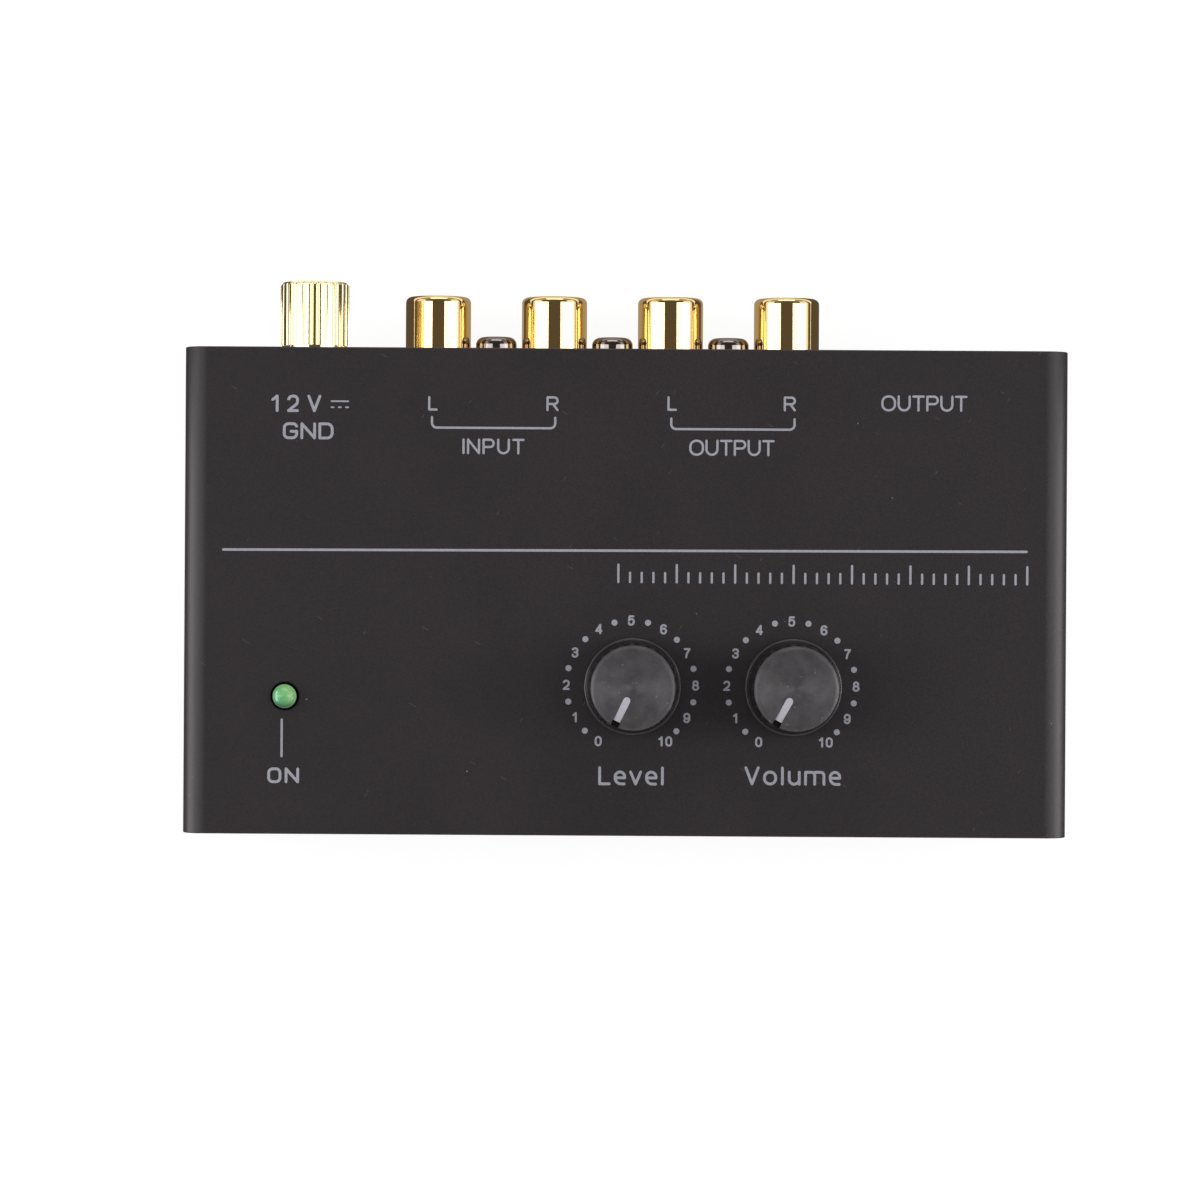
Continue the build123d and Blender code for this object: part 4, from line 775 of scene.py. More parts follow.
FACE_MARGIN = 0.05 * MM  # the face's finish reaches this far below the dish's lowest point
BLOOM_DARK, BLOOM_PALE = 0.85, 1.35  # the dry face's patches against the plain plastic


def knob_plastic():
    """Black moulding: a dry face with turning marks and lint, a smooth side painted darker as
    shade, a plain flange; dusty all over.
    """
    s, wear = chosen("knobs"), chosen("wear")
    level, volume = (box_sizes(control + "_knob")[2] for control in CONTROLS)
    low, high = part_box("level_knob")
    face = high.z - s.dish - FACE_MARGIN
    flange_edge = (high.x - low.x) / 2 - s.base_edge
    between, pitch = (level.x + volume.x) / 2, (volume.x - level.x) / 2

    def from_axis(g):
        x, y, _ = g.axes(g.here())
        across = g.math("SUBTRACT", g.math("ABSOLUTE", g.math("SUBTRACT", x, between)), pitch)
        return g.radius(across, g.math("SUBTRACT", y, level.y))

    def on_face(g):
        return g.above(g.axes(g.here())[2], face)

    def paint(g):
        bloom = g.effect("fine_grain", Size=1.6 * MM, Detail=8.0)
        dry = g.mix(bloom, scaled(BLOOM_DARK, s.plastic), scaled(BLOOM_PALE, s.plastic))
        lint = g.effect("dust_specks", Spacing=wear.lint_spacing, Size=wear.lint_size,
                        Share=wear.lint_share)
        dusty = g.mix(g.product(lint, wear.dust_cover), dry, tuple(wear.lint))
        # painted shade: the steep side is a dark copy of the plastic, the flange keeps the plain
        # colour
        on_flange = g.above(from_axis(g), flange_edge)
        side = g.mix(on_flange, scaled(s.side_shade, s.plastic), tuple(s.plastic))
        return g.mix(on_face(g), side, dusty)

    def roughness(g):
        return g.spread(on_face(g), 0, 1, s.side_roughness, s.face_roughness)

    def height(g):
        waves = g.math("SINE", g.product(from_axis(g), 2 * math.pi / s.mark_pitch))
        return g.product(g.product(waves, s.mark_depth / MM), on_face(g))

    return finish("knob_plastic", paint, roughness, grain=0.12 * MM, relief=0.004 * MM,
                  dust=0.5, height=height)


def pointer_paint():
    """White filling of the knobs' grooves."""
    return finish("pointer_white", chosen("knobs").pointer, roughness=0.5, grain=0.25 * MM,
                  tint=0.12)


def metal(name, shade, roughness, grain=0.12 * MM, tint=0.18):
    """A plated or bare metal with a fine grain."""
    return finish(name, shade, roughness, metallic=1.0, grain=grain, tint=tint,
                  relief=METAL_RELIEF)


def gold_plate():
    """Polished gold plate, with fine polishing grain."""
    return metal("gold_plate", chosen("sockets").gold, roughness=0.045, grain=0.09 * MM,
                 tint=0.12)


def pale_gold():
    """Thin bright gold flash over nickel."""
    return metal("pale_gold_plate", chosen("ground").pale_gold, roughness=0.10, tint=0.12)


def black_nickel():
    """Glossy black nickel plate of the screws that show."""
    return metal("screw_black", chosen("screws").black_nickel, roughness=0.11)


def rubber():
    """Matt black rubber of the feet."""
    return finish("foot_rubber", chosen("screws").rubber, roughness=0.75, grain=0.12 * MM,
                  relief=0.010 * MM, dust=0.3)


# places on the lens as shares of its radius: the painted highlight ring, the painted shade line and
# the painted front shade
HIGHLIGHT_RING, GAP_SHADE_LINE = (0.90, 0.98), 0.99
FRONT_SHADE_FROM, FRONT_SHADE_TO = -1.0, -0.25
# how strongly the painted front shade and painted highlight ring show, and how much the painted lit
# side leans to the rear
FRONT_SHADE, SHADED_GREEN, HIGHLIGHT_STRENGTH = 0.8, 0.28, 0.35
LIT_SIDE_LEAN = 0.5


def light_lens():
    """Green tinted epoxy with painted light: a lit yellower right, a shaded front, a highlight
    ring, a dark rim.
    """
    s = chosen("light")
    middle = box_sizes("power_light")[2]

    def paint(g):
        x, y, _ = g.axes(g.vector("SUBTRACT", g.here(), middle))
        # painted light and shade: lit yellower to the right and rear, painted shade at the front
        side = g.spread(g.total(x, g.product(y, LIT_SIDE_LEAN)), -s.lens, s.lens)
        body = g.mix(side, tuple(s.green), tuple(s.yellow_green))
        start, end = FRONT_SHADE_FROM * s.lens, FRONT_SHADE_TO * s.lens
        front = g.spread(y, start, end, FRONT_SHADE, 0.0)
        shaded = g.mix(front, body, scaled(SHADED_GREEN, s.green))
        out = g.radius(x, y)
        # painted highlight: a pale ring inside the lens's rim
        start, end = (place * s.lens for place in HIGHLIGHT_RING)
        ring = g.effect("stripe", Value=out, Start=start, End=end)
        highlighted = g.mix(g.product(ring, HIGHLIGHT_STRENGTH), shaded, tuple(s.ring))
        # painted shade: a dark line at the lens's very edge, for the gap round it
        return g.mix(g.above(out, GAP_SHADE_LINE * s.lens), highlighted, tuple(s.gap))

    material = finish("light_lens", paint, roughness=0.30, grain=0.5 * MM, tint=0.12,
                      relief=0.001 * MM, Coat_Weight=0.5, Coat_Roughness=0.22,
                      Emission_Strength=s.glow)
    g = Graph(material.node_tree)
    # the glow carries the same painted light and shade
    g.feed(material.node_tree.nodes["Principled BSDF"].inputs["Emission Color"], paint(g))
    return material


def printing_ink():
    """Pale grey screen-printing ink, slightly mottled."""
    return finish("printing_ink", chosen("legends").ink, roughness=0.55, grain=0.22 * MM,
                  tint=0.16, relief=0.004 * MM)


def core_plastic(side):
    """White plastic for the left sockets' cores, red for the right."""
    s = chosen("sockets")
    name, shade = {"left": ("white", s.white), "right": ("red", s.red)}[side]
    return finish("insulator_" + name, shade, roughness=0.32, grain=0.4 * MM, tint=0.10,
                  dust=0.05)


def board_laminate():
    """Green solder mask with tracks under it."""
    s = chosen("parts")

    def paint(g):
        tracks = g.add("TexBrick", {
            "Vector": g.here(), "Scale": 1.0, "Mortar Size": 0.35 * MM, "Mortar Smooth": 0.2,
            "Brick Width": 5.1 * MM, "Row Height": 2.54 * MM,
            "Color1": tuple(s.mask), "Color2": tuple(s.pour), "Mortar": tuple(s.track),
        })
        return tracks.outputs["Color"]

    return finish("board_laminate", paint, roughness=0.30, grain=0.6 * MM, tint=0.10,
                  Coat_Weight=0.4)


def leaded(name, shade, lead_rise=0.0, roughness=0.35):
    """A component's body over its tinned leads, which show so far above the board."""
    tin = tuple(chosen("parts").tin)

    def is_lead(g):
        return g.below(g.axes(g.here())[2], BOARD_TOP + lead_rise)

    def paint(g):
        return g.mix(is_lead(g), tuple(shade), tin)

    return finish(name, paint, roughness, metallic=is_lead)


TOP_FACING, STRIPE_FACING = 0.9, -0.86  # how far a can's surface turns up, and to the left


def can_sleeve():
    """Dark vinyl sleeve with a grey stripe, a bare aluminium top and tinned leads."""
    s = chosen("parts")

    def bare(g):
        below_board = g.below(g.axes(g.here())[2], BOARD_TOP)
        return g.math("MAXIMUM", g.above(g.axes(g.facing())[2], TOP_FACING), below_board)

    def paint(g):
        stripe = g.below(g.axes(g.facing())[0], STRIPE_FACING)
        sleeve = g.mix(stripe, tuple(s.sleeve), tuple(s.stripe))
        return g.mix(bare(g), sleeve, tuple(s.aluminium))

    return finish("can_sleeve", paint, roughness=0.34, metallic=bare)


def banded(name, node, shade, bands, half_length):
    """An axial component's body with colour bands across it, and tinned leads."""
    middle = box_sizes(node)[2]
    tin = tuple(chosen("parts").tin)

    def along(g):
        return g.math("SUBTRACT", g.axes(g.here())[1], middle.y)

    def is_lead(g):
        return g.above(g.math("ABSOLUTE", along(g)), half_length)

    def paint(g):
        base = tuple(shade)
        for start, width, band in bands:
            mask = g.effect("stripe", Value=along(g), Start=start * MM, End=(start + width) * MM)
            base = g.mix(mask, base, band)
        return g.mix(is_lead(g), base, tin)

    return finish(name, paint, roughness=0.32, metallic=is_lead)


BROWN, BLACK = (0.30, 0.12, 0.03), (0.01, 0.01, 0.01)
RED, SILVER = (0.45, 0.02, 0.02), (0.60, 0.60, 0.58)
# each band's start from the body's middle, its width in millimetres, and its colour
RESISTOR_BANDS = (
    (-2.5, 0.55, BROWN), (-1.5, 0.45, BLACK), (-0.6, 0.45, BLACK), (0.3, 0.45, RED),
    (1.7, 0.6, BROWN),
)
DIODE_BANDS = ((1.4, 0.8, SILVER),)


def node_finishes():
    """The finish of every node that stays in view, by name."""
    s = chosen("parts")
    tinned = metal("tinned_lead", s.tin, roughness=0.28)
    bronze = metal("spring_bronze", s.bronze, roughness=0.24)
    nickel = metal("nickel_plate", s.nickel, roughness=0.18)
    black_plastic = finish("socket_plastic", s.black, roughness=0.42, grain=0.2 * MM, dust=0.08)
    chips = finish("chip_plastic", s.chip, roughness=0.6, grain=0.15 * MM, relief=0.01 * MM)
    spacer = finish("spacer_nylon", s.nylon, roughness=0.45, grain=0.4 * MM, tint=0.08)
    finishes = {
        "bottom_tray": coating(),
        "board_screws": metal("screw_bright", s.steel, roughness=0.25),
        "board_standoffs": metal("spacer_brass", s.brass, roughness=0.28),
        "main_board": board_laminate(),
        "amplifier_chips": chips,
        "chip_legs": tinned,
        "electrolytic_capacitors": can_sleeve(),
        "film_capacitors": leaded("film_box", s.film),
        "resistors": banded("resistor_lacquer", "resistors", s.resistor, RESISTOR_BANDS, 3.1 * MM),
        "ceramic_capacitors": leaded("ceramic_dip", s.ceramic, lead_rise=0.5 * MM, roughness=0.5),
        "power_diode": banded("diode_epoxy", "power_diode", s.diode, DIODE_BANDS, 2.55 * MM),
        "voltage_regulator": leaded("regulator_plastic", s.chip, lead_rise=1 * MM, roughness=0.6),
        "light_leads": tinned,
        "light_spacer": spacer,
        "socket_block": black_plastic,
        "socket_ground_tabs": tinned,
        "center_contacts": gold_plate(),
        "output_jack_housing": black_plastic,
        "power_inlet_housing": black_plastic,
        "power_inlet_pin": nickel,
        "power_inlet_spring": bronze,
        "ground_stud": gold_plate(),
        "ground_clamp_washer": pale_gold(),
        "ground_lug": tinned,
        "ground_lock_nut": nickel,
        "ground_wire": finish("wire_sleeve", s.wire, roughness=0.4),
    }
    for spring in ("tip", "ring", "sleeve"):
        finishes[f"output_jack_{spring}_spring"] = bronze
    control_finishes = {
        "shaft": metal("shaft_metal", s.shaft, roughness=0.3),
        "wiper": bronze,
        "pot_housing": finish("pot_plastic", s.housing, roughness=0.45, relief=0.008 * MM),
        "pot_bushing": metal("bushing_metal", s.bushing, roughness=0.35),
        "pot_wafer": finish("wafer_phenolic", s.wafer, roughness=0.5, grain=0.5 * MM, tint=0.35),
        "pot_terminals": tinned,
    }
    for control in CONTROLS:
        finishes |= {f"{control}_{part}": made for part, made in control_finishes.items()}
    return finishes


# ---- letters: strokes in a unit square, (x, y) or (x, y, corner radius) -------------
GLYPHS = {  # width as a share of the height, then strokes
    "0": (0.68, [((0, 0, 0.4), (1, 0, 0.4), (1, 1, 0.4), (0, 1, 0.4), (0, 0, 0.4))]),
    "1": (0.42, [((0, 0.76), (1, 1), (1, 0))]),
    "2": (0.68, [((0, 0.72), (0, 1, 0.3), (1, 1, 0.3), (1, 0.5, 0.3), (0, 0), (1, 0))]),
    "3": (0.66, [((0, 0.76), (0, 1, 0.3), (1, 1, 0.3), (1, 0.54, 0.23), (0.4, 0.54)),
                 ((0.4, 0.54), (1, 0.54, 0.27), (1, 0, 0.3), (0, 0, 0.3), (0, 0.24))]),
    "4": (0.70, [((0.76, 0), (0.76, 1), (0, 0.27), (1, 0.27))]),
    "5": (0.67, [((0.93, 1), (0.14, 1), (0.04, 0.5)),
                 ((0.04, 0.5), (0.22, 0.66, 0.2), (1, 0.66, 0.32), (1, 0, 0.32), (0, 0, 0.3),
                  (0, 0.22))]),
    "6": (0.68, [((0.98, 0.76), (0.98, 1, 0.3), (0, 1, 0.4), (0, 0, 0.35), (1, 0, 0.32),
                  (1, 0.6, 0.3), (0, 0.6, 0.28), (0, 0.3))]),
    "7": (0.66, [((0, 1), (1, 1)), ((1, 1), (0.45, 0.45, 0.4), (0.3, 0))]),
    "8": (0.68, [((0.08, 0.54, 0.22), (0.92, 0.54, 0.22), (0.92, 1, 0.22), (0.08, 1, 0.22),
                  (0.08, 0.54, 0.22)),
                 ((0, 0, 0.27), (1, 0, 0.27), (1, 0.54, 0.27), (0, 0.54, 0.27), (0, 0, 0.27))]),
    "9": (0.68, [((0.02, 0.24), (0.02, 0, 0.3), (1, 0, 0.4), (1, 1, 0.35), (0, 1, 0.32),
                  (0, 0.4, 0.3), (1, 0.4, 0.28), (1, 0.7))]),
    "I": (0.14, [((0.5, 1), (0.5, 0))]),
    "L": (0.66, [((0, 1), (0, 0), (1, 0))]),
    "N": (0.84, [((0, 0), (0, 1), (1, 0), (1, 1))]),
    "O": (0.92, [((0, 0, 0.42), (1, 0, 0.42), (1, 1, 0.42), (0, 1, 0.42), (0, 0, 0.42))]),
    "P": (0.78, [((0, 0), (0, 1), (1, 1, 0.28), (1, 0.46, 0.28), (0, 0.46))]),
    "R": (0.82, [((0, 0), (0, 1), (1, 1, 0.27), (1, 0.48, 0.27), (0, 0.48)),
                 ((0.55, 0.48), (1, 0))]),
    "T": (0.78, [((0, 1), (1, 1)), ((0.5, 1), (0.5, 0))]),
    "U": (0.82, [((0, 1), (0, 0, 0.4), (1, 0, 0.4), (1, 1))]),
    "V": (0.80, [((0, 1), (0.5, 0), (1, 1))]),
    "e": (0.65, [((0, 0.38), (1, 0.38), (1, 0.74, 0.36), (0, 0.74, 0.36), (0, 0, 0.36),
                  (0.95, 0))]),
    "l": (0.20, [((0.5, 1), (0.5, 0))]),
    "m": (1.12, [((0, 0), (0, 0.74)), ((0, 0.74), (0.5, 0.74, 0.2), (0.5, 0)),
                 ((0.5, 0.74), (1, 0.74, 0.2), (1, 0))]),
    "o": (0.74, [((0, 0, 0.34), (1, 0, 0.34), (1, 0.74, 0.34), (0, 0.74, 0.34), (0, 0, 0.34))]),
    "u": (0.68, [((0, 0.74), (0, 0, 0.3), (1, 0, 0.3), (1, 0.74)), ((1, 0.74), (1, 0))]),
    "v": (0.68, [((0, 0.74), (0.5, 0), (1, 0.74))]),
}
WIDE_GLYPHS = {  # more letters, and squarer forms, for the wide words
    "D": (0.90, [((0, 0), (0, 1), (1, 1, 0.36), (1, 0, 0.36), (0, 0))]),
    "G": (0.90, [((1, 0.74), (1, 1, 0.3), (0, 1, 0.3), (0, 0, 0.3), (1, 0, 0.3), (1, 0.46),
                  (0.55, 0.46))]),
    "N": (0.92, [((0, 0), (0, 1), (1, 0), (1, 1))]),
    "O": (0.90, [((0, 0, 0.32), (1, 0, 0.32), (1, 1, 0.32), (0, 1, 0.32), (0, 0, 0.32))]),
}

# ---- printing, all in millimetres from the case's middle ---------------------------
# text, its middle's x and y, its width and its height
BOLD_WORDS = (
    ("12V", -41.0, 23.2, 6.2, 2.15),
    ("GND", -39.5, 19.8, 6.3, 2.1),
    ("ON", -42.35, -22.97, 3.95, 1.95),
    ("Level", 0.85, -22.78, 8.2, 2.35),
    ("Volume", 20.9, -22.68, 12.0, 2.35),
)
THIN_WORDS = (
    ("L", -24.05, 23.3, 1.2, 1.8),
    ("R", -9.2, 23.35, 1.55, 1.85),
    ("INPUT", -16.5, 18.0, 7.7, 1.95),
    ("L", 5.65, 23.45, 1.2, 1.8),
    ("R", 20.25, 23.5, 1.55, 1.85),
    ("OUTPUT", 13.1, 18.0, 10.6, 2.0),
    ("OUTPUT", 36.95, 23.65, 10.7, 2.0),
)
# the direct current sign: one line over three dashes
CURRENT_X, CURRENT_LINE_Y, CURRENT_DASH_Y = -35.6, 23.5, 22.75
CURRENT_WIDTH, CURRENT_DASH, CURRENT_PITCH = 2.1, 0.28, 0.9
# the brackets under each pair of phono sockets
BRACKETS = ((-24.15, -8.85), (5.55, 20.85))
BRACKET_TOP, BRACKET_BAR, BRACKET_CORNER = 21.6, 20.3, 0.6
# the long line, and the short one over the light's word
RULE = ((-49.95, 5.01), (49.75, 5.32))
LIGHT_LINE_X, LIGHT_LINE_ENDS = -42.57, (-20.6, -16.05)
# the row of tick marks
TICKS_FROM, TICKS_TO, TICKS_Y, TICK_COUNT = -0.9, 49.85, 2.35, 36
TICK_SHORT, TICK_TALL, TALL_EVERY = 1.15, 2.15, 5
# the dials: the ring's middle from the knob's axis, and its numbers
DIAL_SHIFT = (-0.21, 0.15)
DIAL_NUMBERS = 11
DIAL_STEP = 30.0  # degrees
DIGIT_GAP = 0.25  # between two digits, against their height
TWO_DIGIT_SHIFT = 0.30  # how far to the right a number of two digits stands


def joined(mesh, name):
    """A mesh whose overlapping bodies are one, by an exact cut with a grain far away."""
    far, size = bmesh.new(), 0.1 * MM
    turned(far, ((0, 0), (size, 0), (size, size), (0, size)), upright(-1, -1), turns=3)
    return cut_from(mesh, far, name, crossing=True)


def smooth_runs(path, scale_x, scale_y, radius_scale):
    """The runs of a stroke between its sharp corners, as points."""
    placed = [(x * scale_x, y * scale_y, *(r * radius_scale for r in rest)) for x, y, *rest in path]
    closed = path[0] == path[-1]
    if closed and all(len(corner) > 2 for corner in path):
        return [(rounded(placed[:-1], closed=True), True)]
    cuts = [n for n, corner in enumerate(path) if len(corner) < 3 or n in (0, len(path) - 1)]
    return [(rounded(placed[a:b + 1]), False) for a, b in zip(cuts, cuts[1:])]


ROUND_END_ANGLES = (30, 60, 84)


def ribbon_pairs(points, half, closed):
    """Points on both sides of a run, with round ends if it isn't closed."""
    pairs = []
    last = len(points) - 1
    for n, point in enumerate(points):
        before = points[n - 1] if n > 0 or closed else point
        after = points[(n + 1) % len(points)] if n < last or closed else point
        along = (after - before).normalized()
        out = Vector((-along.y, along.x)) * half
        pairs.append((point + out, point - out))
    if closed:
        return pairs
    for end, first in ((points[0], True), (points[-1], False)):
        inner = points[1] if first else points[-2]
        outward = (end - inner).normalized()
        out = Vector((-outward.y, outward.x)) * (-half if first else half)
        cap = []
        for angle in ROUND_END_ANGLES:
            turn = math.radians(angle)
            middle = end + outward * half * math.sin(turn)
            cap.append((middle + out * math.cos(turn), middle - out * math.cos(turn)))
        pairs = cap[::-1] + pairs if first else pairs + cap
    return pairs


def add_ribbon(bm, points, half, closed, place, low, high):
    """A flat ribbon of ink along a run."""
    pairs = ribbon_pairs(points, half, closed)
    rings = []
    for left, right in pairs:
        corners = ((left, low), (right, low), (right, high), (left, high))
        rings.append([bm.verts.new(place @ Vector((p.x, p.y, z))) for p, z in corners])
    bridge_all(bm, rings)
    if closed:
        bridge(bm, rings[-1], rings[0])
    else:
        bm.faces.new(rings[0])
        bm.faces.new(rings[-1])


class Printer:
    """Collects the cover's printing in one mesh."""

    def __init__(self):
        s = chosen("legends")
        self.low, self.high = -s.ink_sunk, s.ink_proud
        self.bm = bmesh.new()

    def stroke(self, path, stroke, x=0.0, y=0.0, scale_x=1.0, scale_y=1.0, radius_scale=1.0):
        """One stroke, with its place measured from the case's middle."""
        place = Matrix.Translation((CASE_MIDDLE.x + x, CASE_MIDDLE.y + y, CASE_TOP))
        for points, closed in smooth_runs(path, scale_x, scale_y, radius_scale):
            add_ribbon(self.bm, points, stroke / 2, closed, place, self.low, self.high)

    def line(self, path, stroke):
        """One stroke whose path is in millimetres."""
        self.stroke(path, stroke, scale_x=MM, scale_y=MM, radius_scale=MM)

    def word(self, text, x, y, width, height, stroke, glyphs=GLYPHS):
        """A word centred on a place, its letters spread to a width."""
        widths = [glyphs[letter][0] * height for letter in text]
        natural = sum(widths)
        gap = (width - natural) / (len(text) - 1) if len(text) > 1 else 0.0
        left = x - (natural + gap * (len(text) - 1)) / 2
        for letter, letter_width in zip(text, widths):
            scale_x = max(letter_width - stroke, 0.0)
            scale_y = height - stroke
            inset = stroke / 2 if scale_x > 0.0 else letter_width / 2
            foot = y - height / 2 + stroke / 2
            for path in glyphs[letter][1]:
                self.stroke(path, stroke, left + inset, foot, scale_x, scale_y, scale_y)
            left += letter_width + gap

    def dot(self, x, y, radius):
        """A round dot."""
        outline = ((0, self.low), (radius, self.low), (radius, self.high), (0, self.high))
        place = Matrix.Translation((CASE_MIDDLE.x + x, CASE_MIDDLE.y + y, CASE_TOP))
        turned(self.bm, outline, place, turns=32)

    def piece(self, name):
        """The printing as one piece on the case."""
        piece(name, joined(mesh_from(self.bm, name), name), printing_ink(), "case")


# ---- operators ------------------------------------------------------------------
class PREAMP_OT_cover(bpy.types.Operator):
    """Fold the top cover from one sheet, with its holes and countersinks"""

    bl_idname = "preamp.cover"
    bl_label = "Top cover"

    def execute(self, context):
        s = context.scene.preamp_case
        low, high = COVER_LOW, COVER_HIGH
        left, right, roof = low.x + s.sheet, high.x - s.sheet, high.z - s.sheet
        inner_bend = s.bend - s.sheet
        outline = rounded([
            (low.x, low.z), (low.x, high.z, s.bend), (high.x, high.z, s.bend), (high.x, low.z),
            (right, low.z), (right, roof, inner_bend), (left, roof, inner_bend), (left, low.z),
        ], closed=True, step=math.radians(5))
        name = "top_cover_sheet"
        bm = bmesh.new()
        upended = Matrix.Rotation(math.pi / 2, 4, "X")
        prism(bm, outline, upended, -high.y, -low.y)
        mesh = mesh_from(bm, name)
        cutter = bmesh.new()
        under, over = high.z - 2 * s.sheet, high.z + 2 * s.sheet
        for node, radius in (
            ("level_shaft", s.shaft_hole), ("volume_shaft", s.shaft_hole),
            ("power_light", s.light_hole),
        ):
            middle = box_sizes(node)[2]
            ends = ((0, under), (radius, under), (radius, over), (0, over))
            turned(cutter, ends, upright(middle.x, middle.y))
        for side, screw_low, screw_high in corner_boxes("cover_screws"):
            middle = (screw_low + screw_high) / 2
            face = high.x if side > 0 else low.x
            self.countersink(cutter, s, sideways(side, face, middle.y, middle.z))
        mesh = softened(cut_from(mesh, cutter, name), name, s.cut_edge)
        piece(name, mesh, coating(), "case", ["top_cover"])
        return {"FINISHED"}

    @staticmethod
    def countersink(cutter, s, place):
        """The conical seat of one side screw."""
        outline = (
            (0, -2 * s.sheet), (s.screw_throat, -2 * s.sheet), (s.screw_throat, -s.screw_depth),
            (s.screw_rim, 0), (s.screw_rim, s.sheet), (0, s.sheet),
        )
        turned(cutter, outline, place, turns=64)


def corner_boxes(node):
    """Side, low and high corner of a node's four solids, one in each quarter of the case."""
    verts = [v.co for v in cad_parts[node].data.vertices]
    found = []
    for side in (-1, 1):
        for end in (-1, 1):
            mine = [v for v in verts if v.x * side > 0 and (v.y - CASE_MIDDLE.y) * end > 0]
            low = Vector(min(v[axis] for v in mine) for axis in range(3))
            high = Vector(max(v[axis] for v in mine) for axis in range(3))
            found.append((side, low, high))
    return found


HEAD_SLOPE = 0.15 * MM  # how far a domed head falls from its middle to where it rounds
# the cross recess's length and width against its setting, at its floor and above the head
CROSS_AT_FLOOR, CROSS_AT_TOP = (0.72, 0.7), (1.1, 1.25)
CROSS_ABOVE = 0.5 * MM


class PREAMP_OT_screws(bpy.types.Operator):
    """Cut the countersunk side screws and the domed screws between the sockets"""

    bl_idname = "preamp.screws"
    bl_label = "Screws"

    def execute(self, context):
        s = context.scene.preamp_screws
        flat, domed = bmesh.new(), bmesh.new()
        flat_slots, domed_slots = bmesh.new(), bmesh.new()
        for side, low, high in corner_boxes("cover_screws"):
            face = high.x if side > 0 else low.x
            place = sideways(side, face, (low.y + high.y) / 2, (low.z + high.z) / 2)
            radius, length = (high.z - low.z) / 2, high.x - low.x
            outline = [
                (0, -length), (s.shank - s.edge, -length), (s.shank, s.edge - length),
                (s.shank, s.shank - radius), (radius - s.edge / 2, -s.edge),
                (radius - s.edge, 0), (0, 0),
            ]
            turned(flat, outline, place, turns=64)
            self.cross(flat_slots, s, place)
        low, high, middle = box_sizes("socket_screws")
        radius, length = (high.z - low.z) / 2, high.y - low.y
        sockets = [box_sizes(name + "_barrel")[2].x for name in PHONO_SOCKETS]
        head = high.y - REAR_FACE
        for near, far in zip(sockets, sockets[1:]):
            place = Matrix.Translation((0, high.y, 0)) @ backward((near + far) / 2, middle.z)
            outline = rounded([
                (0, -length), (s.shank - s.edge, -length), (s.shank, s.edge - length),
                (s.shank, -head), (radius, -head), (radius, -HEAD_SLOPE, s.dome), (0, 0),
            ], step=math.radians(6))
            turned(domed, outline, place, turns=64)
            self.cross(domed_slots, s, place)
        for name, node, made, slots in (
            ("side_screws", "cover_screws", flat, flat_slots),
            ("socket_screw_row", "socket_screws", domed, domed_slots),
        ):
            mesh = cut_from(mesh_from(made, name), slots, name, crossing=True)
            piece(name, smoothed(mesh, below=35), black_nickel(), "case", [node])
        return {"FINISHED"}

    @staticmethod
    def cross(cutter, s, place):
        """The cross recess of one head, narrower at its floor."""
        for turn in (0, 90):
            spun = place @ Matrix.Rotation(math.radians(turn), 4, "Z")
            rings = []
            for along, long, wide in (
                (-s.cross_depth, *CROSS_AT_FLOOR), (CROSS_ABOVE, *CROSS_AT_TOP),
            ):
                half_length, half_width = long * s.cross_length / 2, wide * s.cross_width / 2
                corners = ((-half_length, -half_width), (half_length, -half_width),
                           (half_length, half_width), (-half_length, half_width))
                rings.append([cutter.verts.new(spun @ Vector((x, y, along))) for x, y in corners])
            bridge(cutter, *rings)
            for ring in rings:
                cutter.faces.new(ring)


class PREAMP_OT_feet(bpy.types.Operator):
    """Mould the four rubber feet"""

    bl_idname = "preamp.feet"
    bl_label = "Rubber feet"

    def execute(self, context):
        s = context.scene.preamp_screws
        bm = bmesh.new()
        for _, low, high in corner_boxes("rubber_feet"):
            radius = (high.x - low.x) / 2
            outline = rounded([
                (0, low.z), (radius - s.foot_draft, low.z, s.foot_edge), (radius, high.z),
                (0, high.z),
            ])
            turned(bm, outline, upright((low.x + high.x) / 2, (low.y + high.y) / 2), turns=72)
        name = "rubber_foot_set"
        piece(name, mesh_from(bm, name), rubber(), "case", ["rubber_feet"])
        return {"FINISHED"}


DISH_STEPS = 16
# how far the groove's cutter reaches past the bar's outer end and top
GROOVE_PAST_END, GROOVE_ABOVE = 2 * MM, 1 * MM


